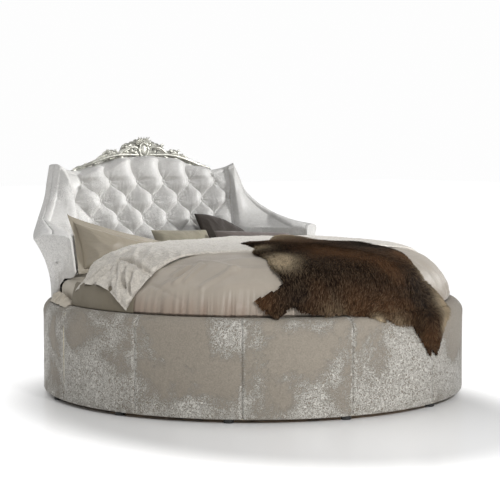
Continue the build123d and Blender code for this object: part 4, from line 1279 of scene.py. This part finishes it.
def build_turnback():
    columns, rows = 400, 120
    rise = sizes().fold_height

    def flat_place(u, w):
        """u runs from left to right, w from the head fold to the free edge"""
        head_x, free_x = between(-1.133, 1.133, u), between(-1.166, 1.14, u)
        x, y = between(head_x, free_x, w), between(head_fold(head_x), free_edge(free_x), w)
        return x + 0.05 * (1 - u) ** 8 * 4 * w * (1 - w), y

    def creases(x, y, u, w):
        left = ease(u, 0.30, 0.02)
        fine = 0.0026 * (ridges(x * 30, y * 30, 8.0) - 0.5) + 0.0012 * ridges(x * 75, y * 75, 2.0)
        slanted = 0.018 * left * (ridges((x + y) * 2.5, (x - y) * 9.0, 6.0) - 0.45)
        hang = 0.014 * ease(u, 0.085, 0.0) * ease(w, 0.45, 0.9) * math.cos(u * 210 + w * 2)
        soft = 0.006 * bumps(x * 3.2, y * 3.2, 4.0) + 0.004 * (ridges(x * 4.5, y * 1.6, 1.5) - 0.5)
        return fine + slanted + hang + soft + 1.3 * creased(FOLD_CREASES, x, y)

    def place(u, w):
        fold, edge = 0.10, 0.86
        u *= 0.45 + 0.55 * u
        if w < fold:
            x, y = flat_place(u, 0.0)
            top = duvet_drape.put(x, y, rise + creases(x, y, u, 0))
            share = 1 - w / fold
            foot = min(SHEET_TOP + 0.003, top.z - 0.012)
            a = share * math.pi / 2
            out = 0.030 * math.sin(a * 2) * ease(top.z, 0.60, 0.72)
            return Vector((top.x * (1 + out * 0.3), top.y + out, between(foot, top.z, math.cos(a) ** 0.7)))
        if w <= edge:
            share = (w - fold) / (edge - fold)
            x, y = flat_place(u, share)
            roll = math.sqrt(max(1 - ease(share, 0.955, 1.0) ** 2, 0))
            return duvet_drape.put(x, y, (rise + creases(x, y, u, share)) * max(roll, 0.12) + 0.0015)
        share = 1 - (w - edge) / (1 - edge)
        x, y = flat_place(u, share * 0.97 + 0.015)
        return duvet_drape.put(x, y, 0.0005 - 0.004 * ease(share, 0.98, 0.8))

    bm = new_mesh()
    add_grid(bm, columns, rows, place)
    settle(bm, lambda p: Vector((p.x * 0.6, p.y * 0.6 - 0.05, 0.62)))
    fold = piece("duvet_fold", bm, white_jacquard(), "turnback_jacquard", "duvet_turnback")
    build_sheet_side()


def build_sheet_side():
    """the plain side of the sheet that shows under the folded-back part"""
    def place(u, w):
        angle, far = math.radians(between(-80.5, -108, u)), between(RIM - 0.125, RIM - 0.002, w)
        ribs = 0.0015 * bumps(angle * 30, far * 9, 3.0) + 0.002 * math.exp(-((w - 0.12) / 0.05) ** 2)
        return duvet_drape.put(far * math.sin(angle), far * math.cos(angle), 0.004 + ribs)

    bm = new_mesh()
    add_grid(bm, 120, 24, place)
    settle(bm, lambda p: p * 0.5, wall=SHEET_WALL)
    side = piece("sheet_side", bm, olive_cotton(), "sheet_cotton")


def build_mattress():
    def body(u, w):
        """a round mattress with a tape edge top and bottom"""
        line = [(EDGE_FROM * k / 12, MATTRESS_TOP) for k in range(13)]
        for a in map(math.radians, range(15, 91, 15)):
            line.append((EDGE_FROM + EDGE_ROUND * math.sin(a), EDGE_MIDDLE + EDGE_ROUND * math.cos(a)))
        line += [(1.047, 0.55), (1.0475, 0.545), (1.047, 0.54), (1.047, 0.48), (1.047, 0.42), (1.047, 0.40)]
        line += [(1.026 + 0.021 * math.cos(math.radians(a)), 0.3915 - 0.0209 * math.sin(math.radians(a)))
                 for a in range(0, 91, 15)]
        line += [(1.0 * (11 - k) / 11, 0.3704) for k in range(12)]
        radius, height = line[min(round(w * (len(line) - 1)), len(line) - 1)]
        quilt = 0.003 * abs(math.sin(u * 2 * math.pi * 40)) if 0.42 < height < 0.54 else 0
        return polar(u * 360, max(radius - quilt, 0), height)

    bm = new_mesh()
    add_grid(bm, 240, 43, body)
    settle(bm, lambda p: Vector((p.x * 0.5, p.y * 0.5, 0.48)))
    mattress = piece("mattress_body", bm, ticking(), "mattress_ticking", "mattress")

    def cover(u, w):
        angle, far = u * 360, w * 1.25
        x, y = math.sin(u * 2 * math.pi) * far, math.cos(u * 2 * math.pi) * far
        crinkle = 0.0012 * ridges(x * 7, y * 7, 2.0) * ease(y, -0.1, 0.3)
        flat, turn = 1.007, 0.0443
        if far < flat:
            return polar(angle, far, SHEET_TOP + crinkle - 0.0007)
        over, bend = far - flat, turn * math.pi / 2
        if over < bend:
            a = over / turn
            return polar(angle, EDGE_FROM + turn * math.sin(a), EDGE_MIDDLE + turn * math.cos(a))
        return polar(angle, EDGE_FROM + turn, EDGE_MIDDLE - (over - bend) * 0.845)

    bm = new_mesh()
    add_grid(bm, 240, 70, cover)
    settle(bm, lambda p: Vector((p.x * 0.5, p.y * 0.5, 0.40)), wall=SHEET_WALL)
    sheet = piece("sheet_cover", bm, cream_cotton(), "sheet_cotton", "fitted_sheet")
    build_sheet_corner()


def build_sheet_corner():
    """the crumpled edge of the sheet that lies on the ring at the wing's foot"""
    def place(u, w):
        angle = between(-80.5, -61.5, u)
        radius = between(1.052, 1.118, w)
        heap = 0.052 * math.sin(math.pi * min(max(u, 0.0), 1.0)) ** 0.6
        heap *= math.sin(math.pi * min(w * 0.93 + 0.04, 1)) ** 0.7
        fold = ridges(angle * 0.35, radius * 14, 1.0) * 0.6 + ridges(angle * 0.9, radius * 30, 6.0) * 0.4
        height = RING_TOP + 0.003 + heap * (0.35 + 0.75 * fold) - 0.010 * ease(radius, 1.085, 1.118)
        return polar(angle, radius + 0.006 * bumps(angle * 0.6, height * 30, 2), height)

    bm = new_mesh()
    add_grid(bm, 110, 40, place)
    settle(bm, lambda p: p - Vector((0, 0, 1)), wall=SHEET_WALL)
    corner = piece("sheet_corner", bm, cream_cotton(), "sheet_cotton")


# Pillows

def set_on_sheet(bm, verts, x, y, lean, turn, roll):
    """leans a pillow back from upright, turns and rolls it, and rests it on the sheet"""
    right, forward, upright = math.cos(turn), math.sin(turn), math.cos(lean)
    side = Vector((right, forward, 0))
    face = Vector((forward * upright, -right * upright, math.sin(lean)))
    top = face.cross(side)
    pose = Matrix((side, top, face)).transposed().to_4x4() @ Matrix.Rotation(roll, 4, "Z")
    bmesh.ops.transform(bm, matrix=pose, verts=verts)
    low = min(v.co.z for v in verts)
    bmesh.ops.translate(bm, vec=Vector((x, y, SHEET_TOP + 0.0006 - low)), verts=verts)


def add_pillow(bm, width, height, thick, pull, tuck, droop, flange, seed):
    """a crowned cushion in its own X and Y, its front towards +Z, with a flat flange round it if it has one.
    tuck draws its lower corners in and droop lets its top edge down to the right, at once or late."""
    def outline(a, b, grow=0.0):
        x = (width / 2) * a * (1 - pull * (1 - b * b)) + grow * a
        y = (height / 2) * b * (1 - pull * (1 - a * a)) + grow * b
        right, low = min(max((1 + a) / 2, 0), 1), (1 - b) / 2
        x += 0.30 * tuck * width * (1 - right) * low
        return x, y + height * (tuck * right * low - droop[0] * right ** droop[1] * (1 - low))

    def half(facing):
        def place(u, w):
            a, b = u * 2 - 1, w * 2 - 1
            a, b = math.sin(a * math.pi / 2) * 0.4 + a * 0.6, math.sin(b * math.pi / 2) * 0.4 + b * 0.6
            x, y = outline(a, b)
            crown = ((1 - abs(a) ** 2.6) * (1 - abs(b) ** 2.6)) ** 0.5
            corner = (abs(a) * abs(b)) ** 2
            way = math.atan2(b, a)
            crease = 0.006 * ridges(way * 5.5, corner * 0.7, seed) * math.exp(-crown * 3.2) * crown * 3
            drape = 0.010 * bumps(a * 1.3, b * 1.3, seed + 4) + 0.004 * (ridges(a * 2.2, b * 1.1, seed) - 0.5)
            z = thick / 2 * crown + (crease + drape) * min(crown * 2, 1)
            return Vector((x, y, facing * max(z, 0)))
        return place

    verts = add_grid(bm, 90, 60, half(1)) + add_grid(bm, 90, 60, half(-1))
    if flange:
        for facing in (-1, 1):
            def place(u, w):
                a = u * 8
                k, t = int(min(a, 7.999)) // 2, (a % 2) - 1 if a < 8 else 1.0
                sides = ((t, -1), (1, t), (-t, 1), (-1, -t))[k]
                grow = w * flange
                x, y = outline(*sides, grow)
                wave = 0.005 * bumps(x * 9, y * 9, seed) * w
                return Vector((x, y, wave + facing * 0.002 * (1 - w * 0.6)))
            verts += add_grid(bm, 200, 6, place)
    return verts


PILLOWS = (
    ("pillow_front", "front_pillow", 0.590, 0.275, 0.140, 0.035, 0.42, (0.17, 0.45), (-0.405, 0.558), (20, 0, -13)),
    ("pillow_second", "second_pillow", 0.330, 0.170, 0.080, 0.035, 0.0, (0.1, 1), (0.01, 0.43), (44, 0, 0)),
    ("pillow_back", "back_pillow", 0.400, 0.280, 0.110, 0.0, 0.0, (0.05, 1), (0.055, 0.612), (35, 0, 0)),
    ("cushion_dark", "dark_cushion", 0.340, 0.352, 0.100, 0.0, 0.0, (0.48, 1.8), (0.356, 0.677), (24, 2, 7)),
    ("cushion_grey", "grey_cushion", 0.480, 0.260, 0.110, 0.0, 0.0, (0.1, 1), (0.405, 0.475), (34, -18, 0)),
)


def build_pillows():
    finishes = {"front_pillow": (pillow_satin, "pillow_satin"), "second_pillow": (pillow_satin, "pillow_satin"),
                "back_pillow": (olive_satin, "pillow_olive"), "dark_cushion": (dark_plush, "cushion_dark"),
                "grey_cushion": (mauve_satin, "cushion_mauve")}
    for seed, (name, node, width, height, thick, flange, tuck, droop, spot, turns) in enumerate(PILLOWS):
        bm = new_mesh()
        verts = add_pillow(bm, width, height, thick, 0.05, tuck, droop, flange, seed * 3.3 + 1)
        set_on_sheet(bm, verts, spot[0] * BASE_RADIUS, spot[1] * BASE_RADIUS, *[math.radians(a) for a in turns])
        settle(bm)
        finish, slot = finishes[node]
        pillow = piece(name, bm, finish(), slot, node)


# Fur throw

PELT = ((-0.235, -0.165), (-0.29, -0.30), (-0.37, -0.44), (-0.44, -0.55), (-0.465, -0.62), (-0.475, -0.70),
        (-0.525, -0.785), (-0.525, -0.855), (-0.545, -0.915), (-0.59, -0.92), (-0.66, -0.915), (-0.71, -0.90),
        (-0.715, -0.95), (-0.70, -1.00), (-0.685, -1.045), (-0.62, -1.04), (-0.578, -1.03), (-0.55, -1.075),
        (-0.505, -1.115), (-0.43, -1.155), (-0.32, -1.19), (-0.21, -1.23), (-0.16, -1.255), (-0.11, -1.29),
        (-0.085, -1.275), (-0.01, -1.315), (0.105, -1.315), (0.155, -1.36), (0.225, -1.405), (0.30, -1.455),
        (0.316, -1.42), (0.38, -1.44), (0.405, -1.37), (0.44, -1.25), (0.515, -1.14), (0.45, -1.08), (0.32, -1.04),
        (0.315, -0.935), (0.39, -0.76), (0.38, -0.62), (0.35, -0.51), (0.26, -0.43), (0.22, -0.30), (0.24, -0.16),
        (0.17, -0.07), (0.05, -0.06), (-0.05, -0.17), (-0.13, -0.16), (-0.17, -0.13))
PELT_X, PELT_Y = [p[0] for p in PELT], [p[1] for p in PELT]
SPINE = ((-0.14, -0.12), (-0.05, -0.30), (0.02, -0.55), (0.10, -0.80), (0.22, -1.0), (0.30, -1.4))
FRINGE, CLUMP = (0.46, -1.14), 0.045
# Places of the coat that are tan, then those that are brown: x, y, how wide and how much
TAN_PATCHES = ((-0.37, -0.48, 0.08, 0.9), (-0.44, -0.75, 0.085, 1.4), (0.08, -0.13, 0.15, 0.75),
               (0.43, -1.15, 0.08, 0.8), (0.40, -1.26, 0.05, 0.7), (-0.21, -0.15, 0.05, -0.6),
               (-0.137, -1.276, 0.04, 1.0), (0.0, -1.30, 0.07, 0.3), (0.33, -1.0, 0.06, 0.5),
               (-0.38, -1.16, 0.08, 0.2))
# the brown is partly the coat's own colour and partly painted highlight where the fur is lit
BROWN_PATCHES = ((-0.10, -0.68, 0.16, 0.9), (0.0, -0.82, 0.12, 0.5), (0.30, -0.86, 0.09, 0.8),
                 (0.11, -0.95, 0.12, 0.45), (-0.25, -1.16, 0.13, 0.5), (0.0, -1.24, 0.14, 0.6),
                 (0.30, -1.38, 0.13, 0.5), (0.05, -0.30, 0.2, 0.8), (-0.68, -0.95, 0.1, 0.4))


def in_pelt(x, y):
    within = False
    for (x0, y0), (x1, y1) in zip(PELT, PELT[1:] + PELT[:1]):
        if (y0 > y) != (y1 > y) and x < x0 + (x1 - x0) * (y - y0) / (y1 - y0):
            within = not within
    return within


def pelt_edge(x, y):
    """distance to the pelt's outline"""
    return nearest(PELT + PELT[:1], x, y)[0]


def pelt_swell(x, y):
    """the pelt's own thickness and slack at a flat place"""
    edge = pelt_edge(x, y)
    hump = 0.022 * math.exp(-((x - 0.08) ** 2 + (y + 0.13) ** 2) / 0.02) * ease(edge, 0.0, 0.04)
    slack = 0.010 * max(bumps(x * 5, y * 5, 1.0), -0.25) * ease(edge, 0.02, 0.1)
    over_fold = 0.011 * ease(y, -0.64, -0.50) * ease(edge, 0.0, 0.02)
    return 0.004 + 0.010 * ease(edge, 0.0, 0.08) + hump + slack + over_fold


def coat_colour(x, y, chance):
    """the fur's colour at a flat place"""
    c = colours()
    dark, brown, tan = Vector(c.pile_dark), Vector(c.pile_brown), Vector(c.pile_tan)

    def total(table):
        return sum(amount * math.exp(-((x - px) ** 2 + (y - py) ** 2) / (size * size))
                   for px, py, size, amount in table)

    light = total(TAN_PATCHES) + 0.22 * (chance - 0.5)
    # brown, partly painted highlight, laid over the dark body
    warm = total(BROWN_PATCHES) + 0.3 * ease(bumps(x * 6, y * 6, 3.0), 0.0, 0.4)
    body = dark.lerp(brown, min(max(warm + 0.4 * (chance - 0.5), 0), 1))
    return body.lerp(tan, min(max(light, 0), 1))


def build_fur_throw():
    bm = new_mesh()
    coat = bm.verts.layers.float_color.new("Coat")
    low_x, low_y = min(PELT_X), min(PELT_Y)
    wide, tall = max(PELT_X) - low_x, max(PELT_Y) - low_y
    cell = 0.011
    add_grid(bm, int(wide / cell), int(tall / cell), lambda u, w: Vector((low_x + wide * u, low_y + tall * w, 0)))
    outside = [f for f in bm.faces if not in_pelt(*f.calc_center_median().xy)]
    bmesh.ops.delete(bm, geom=outside, context="FACES")
    area = sum(f.calc_area() for f in bm.faces)
    for v in bm.verts:
        x, y = v.co.xy
        v[coat] = (*(coat_colour(x, y, 0.2) * 0.6), 1)
        v.co = fur_drape.put(x, y, pelt_swell(x, y))
    settle(bm, lambda p: p * 0.5, wall=COVER_WALL)
    pelt = piece("fur_pelt", bm, fur_pile(), "fur_pile", "fur_throw")
    locks = [add_locks(k) for k in range(3)]


def add_locks(part):
    """a third of the throw's fur: tapered locks that lie away from its spine"""
    rng = random.Random(71 + part)
    bm = new_mesh()
    coat = bm.verts.layers.float_color.new("Coat")
    made = 0
    while made < sizes().pile_locks // 3:
        x, y = rng.uniform(min(PELT_X), max(PELT_X)), rng.uniform(min(PELT_Y), max(PELT_Y))
        if not in_pelt(x, y):
            continue
        made += 1
        far, px, py = nearest(SPINE, x, y)
        way = Vector((x - px, y - py)) / max(far, 0.02) + Vector((0.25, -0.55))
        swirl = Vector((bumps(x * 4, y * 4, 11.0), bumps(x * 4, y * 4, 17.0))) * 0.9
        way = (way + swirl + Vector((rng.gauss(0, 0.16), rng.gauss(0, 0.16)))).normalized()
        fringe = math.exp(-((x - FRINGE[0]) ** 2 + (y - FRINGE[1]) ** 2) / 0.014)
        full = 0.5 + 0.5 * ease(pelt_edge(x, y), 0, 0.04) + 0.9 * fringe
        size = sizes().pile_length * rng.uniform(0.55, 1.0) * full
        cell_x, cell_y = round(x / CLUMP), round(y / CLUMP)
        clump = Vector((cell_x + 0.6 * bumps(cell_x * 7.3, cell_y * 3.1, 2.0),
                        cell_y + 0.6 * bumps(cell_x * 5.7, cell_y * 9.1, 6.0))) * CLUMP
        gather = (clump + way * size * 1.1 - Vector((x, y)) - way * size) * 0.22
        across = Vector((-way.y, way.x)) * rng.uniform(0.0012, 0.0024)
        root, rise = pelt_swell(x, y), rng.uniform(0.003, 0.009)
        shade = coat_colour(x, y, rng.random())
        verts = []
        for share, breadth, lift in ((0.0, 1.0, 0.0), (0.45, 0.85, 0.8), (0.8, 0.5, 1.0), (1.0, 0.06, 0.75)):
            px = x + way.x * size * share + gather.x * share * share
            py = y + way.y * size * share + gather.y * share * share
            for side in (-1, 1):
                v = bm.verts.new(fur_drape.put(px + side * across.x * breadth, py + side * across.y * breadth,
                                               root + rise * lift))
                v[coat] = (*(shade * between(0.55, 1.15, share)), 1)
                verts.append(v)
        for k in (0, 2, 4):
            bm.faces.new((verts[k], verts[k + 1], verts[k + 3], verts[k + 2]))
    return piece(f"fur_locks_{part + 1}", bm, fur_pile(), "fur_pile")


# Finishes of the parts that stay as the frame has them

def finish_frame_parts():
    finishes = {
        sawn_wood: ("slats", "slat_battens", "ring_lower_rails", "ring_upper_rails", "ring_uprights",
                    "ring_facing_boards", "headboard_ribs", "headboard_back_board", "crest_dowels"),
        black_steel: ("centre_beam", "side_beams", "beam_hangers", "support_legs", "joint_plates",
                      "headboard_posts"),
        zinc: ("joint_bolts", "headboard_bolts"),
        black_nylon: ("ring_glides", "support_feet"),
        cream_foam: ("ring_foam",),
    }
    for finish, names in finishes.items():
        for name in names:
            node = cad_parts[name]
            if not node.material_slots:
                node.data.materials.append(finish())
            for holder in node.material_slots:
                holder.material = finish()


# Stage

CAMERA_PLACE, CAMERA_LENS = (-5.035, -6.217, 1.307), 104.4
VIEW_TURN, VIEW_DROP, VIEW_TRIM = 39, 3.945, 0.11
FLOOR_WIDE, BACKDROP, SURROUND = 80, 0.985, 0.36


def add_light(name, place, target, wide, power, spread):
    lamp = bpy.data.lights.new(name, "AREA")
    lamp.energy, lamp.shape, lamp.size, lamp.spread = power, "DISK", wide, math.radians(spread)
    obj = bpy.data.objects.new(name, lamp)
    obj.location = place
    obj.rotation_euler = (Vector(target) - Vector(place)).to_track_quat("-Z", "Y").to_euler()
    bpy.context.scene.collection.objects.link(obj)


def build_stage():
    scene = bpy.context.scene
    eye = bpy.data.cameras.new("camera")
    eye.sensor_width, eye.lens = 36.0, CAMERA_LENS
    camera = bpy.data.objects.new("camera", eye)
    camera.location = CAMERA_PLACE
    camera.rotation_euler = (math.radians(90 - VIEW_DROP), 0, math.radians(VIEW_TRIM - VIEW_TURN))
    scene.collection.objects.link(camera)
    scene.camera = camera

    floor = new_mesh()
    add_grid(floor, 24, 24, lambda u, w: Vector(((u - 0.5) * FLOOR_WIDE, (w - 0.5) * FLOOR_WIDE, 0)))
    mesh = bpy.data.meshes.new("floor")
    floor.to_mesh(mesh)
    floor.free()
    finish, tree, shader, place = new_finish("studio_floor", Roughness=0.22, Specular_IOR_Level=0.5,
                                             Emission_Color=(1, 1, 1, 1))
    # painted glow: the floor glows more the farther it lies from the bed, on a stretched ellipse turned with the
    # view, so a darker zone stays round the bed
    toward = add_node(tree, "Mapping", {"Vector": place, "Location": (0.0, 0.5, 0.0), "Scale": (0.86, 0.62, 1.0),
                                        "Rotation": (0.0, 0.0, math.radians(VIEW_TURN))}).outputs[0]
    away = add_node(tree, "VectorMath", {0: toward}, operation="LENGTH").outputs["Value"]
    feed(tree, shader.inputs["Emission Strength"], stepped(tree, away, 0.80, 1.15, 0.0, 0.6))
    soft = grouped(tree, "Mottle", Vector=place, Scale=0.4, Contrast=0.3)
    feed(tree, shader.inputs["Base Color"], mix_colour(tree, soft["Mask"], tone((0.88, 0.88, 0.88)),
                                                       tone((0.90, 0.90, 0.90))))
    mesh.materials.append(finish)
    obj = bpy.data.objects.new("floor", mesh)
    scene.collection.objects.link(obj)
    obj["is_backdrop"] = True

    world = bpy.data.worlds.new("studio")
    world.use_nodes = True
    scene.world = world
    tree = world.node_tree
    tree.nodes.clear()
    seen = add_node(tree, "Background", {"Color": (1, 1, 1, 1), "Strength": BACKDROP})
    light = add_node(tree, "Background", {"Color": (1, 1, 1, 1), "Strength": SURROUND})
    way = add_node(tree, "LightPath").outputs["Is Camera Ray"]
    mixed = add_node(tree, "MixShader", {0: way, 1: light.outputs[0], 2: seen.outputs[0]})
    ending = tree.nodes.new("ShaderNodeOutputWorld")
    tree.links.new(mixed.outputs[0], ending.inputs["Surface"])

    sun = bpy.data.lights.new("sky", "SUN")
    sun.energy, sun.angle = 0.72, math.radians(50)
    overhead = bpy.data.objects.new("sky", sun)
    overhead.rotation_euler = (math.radians(-22), math.radians(-12), 0)
    scene.collection.objects.link(overhead)
    add_light("key", (-1.6, -5.6, 3.1), (0.0, -1.3, 0.10), 1.2, 27, 62)
    add_light("side_key", (3.6, -1.3, 2.1), (-0.55, 0.9, 0.98), 0.6, 20, 55)
    scene.view_settings.view_transform = "Standard"
    scene.view_settings.look = "None"


# Operators, panel and registration

class BED_OT_stage(bpy.types.Operator):
    """Adds the floor, the studio lights and the camera"""
    bl_idname = "bed.stage"
    bl_label = "Stage"

    def execute(self, context):
        build_stage()
        return {"FINISHED"}


class BED_OT_frame_parts(bpy.types.Operator):
    """Gives the timber, steel, foam and glides of the frame their finishes"""
    bl_idname = "bed.frame_parts"
    bl_label = "Frame finishes"

    def execute(self, context):
        finish_frame_parts()
        return {"FINISHED"}


class BED_OT_base_panels(bpy.types.Operator):
    """Builds the crushed-velvet panels round the ring"""
    bl_idname = "bed.base_panels"
    bl_label = "Base panels"

    def execute(self, context):
        build_base_panels()
        return {"FINISHED"}


class BED_OT_headboard(bpy.types.Operator):
    """Builds the headboard's back, wings and arm fronts"""
    bl_idname = "bed.headboard"
    bl_label = "Headboard"

    def execute(self, context):
        build_headboard_back()
        build_wings()
        return {"FINISHED"}


class BED_OT_tufted_front(bpy.types.Operator):
    """Builds the button-tufted front and its buttons"""
    bl_idname = "bed.tufted_front"
    bl_label = "Tufted front"

    def execute(self, context):
        build_tufted_front()
        return {"FINISHED"}


class BED_OT_crest(bpy.types.Operator):
    """Builds the carved crest"""
    bl_idname = "bed.crest"
    bl_label = "Crest"

    def execute(self, context):
        build_crest()
        return {"FINISHED"}


class BED_OT_mattress(bpy.types.Operator):
    """Builds the mattress and its fitted sheet"""
    bl_idname = "bed.mattress"
    bl_label = "Mattress and sheet"

    def execute(self, context):
        build_mattress()
        return {"FINISHED"}


class BED_OT_duvet(bpy.types.Operator):
    """Builds the duvet and its folded-back part"""
    bl_idname = "bed.duvet"
    bl_label = "Duvet"

    def execute(self, context):
        build_duvet()
        build_turnback()
        return {"FINISHED"}


class BED_OT_pillows(bpy.types.Operator):
    """Builds the pillows and cushions"""
    bl_idname = "bed.pillows"
    bl_label = "Pillows"

    def execute(self, context):
        build_pillows()
        return {"FINISHED"}


class BED_OT_fur_throw(bpy.types.Operator):
    """Builds the fur throw, its pelt and its pile"""
    bl_idname = "bed.fur_throw"
    bl_label = "Fur throw"

    def execute(self, context):
        build_fur_throw()
        return {"FINISHED"}


BUILDERS = (BED_OT_stage, BED_OT_frame_parts, BED_OT_base_panels, BED_OT_headboard, BED_OT_tufted_front,
            BED_OT_crest, BED_OT_mattress, BED_OT_duvet, BED_OT_pillows, BED_OT_fur_throw)


class BED_PT_pieces(bpy.types.Panel):
    """Lists the pieces of the bed and the sizes and colours they are built from"""
    bl_label = "Round bed"
    bl_idname = "BED_PT_pieces"
    bl_space_type = "VIEW_3D"
    bl_region_type = "UI"
    bl_category = "Round bed"

    def draw(self, context):
        for builder in BUILDERS:
            self.layout.operator(builder.bl_idname)
        for group in (context.scene.bed_sizes, context.scene.bed_colours):
            box = self.layout.box()
            for name in group.bl_rna.properties.keys():
                if name not in ("rna_type", "name"):
                    box.prop(group, name)


CLASSES = (BedSizes, BedColours, *BUILDERS, BED_PT_pieces)


def register():
    for one in CLASSES:
        bpy.utils.register_class(one)
    bpy.types.Scene.bed_sizes = PointerProperty(type=BedSizes)
    bpy.types.Scene.bed_colours = PointerProperty(type=BedColours)


def unregister():
    del bpy.types.Scene.bed_colours
    del bpy.types.Scene.bed_sizes
    for one in reversed(CLASSES):
        bpy.utils.unregister_class(one)


def plain(box):
    return [list(corner) for corner in box]


def main():
    register()
    for builder in BUILDERS:
        group, name = builder.bl_idname.split(".")
        getattr(getattr(bpy.ops, group), name)()
    {"cad": plain(cad_box), "visual": plain(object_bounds())}


if __name__ == "__main__":
    main()
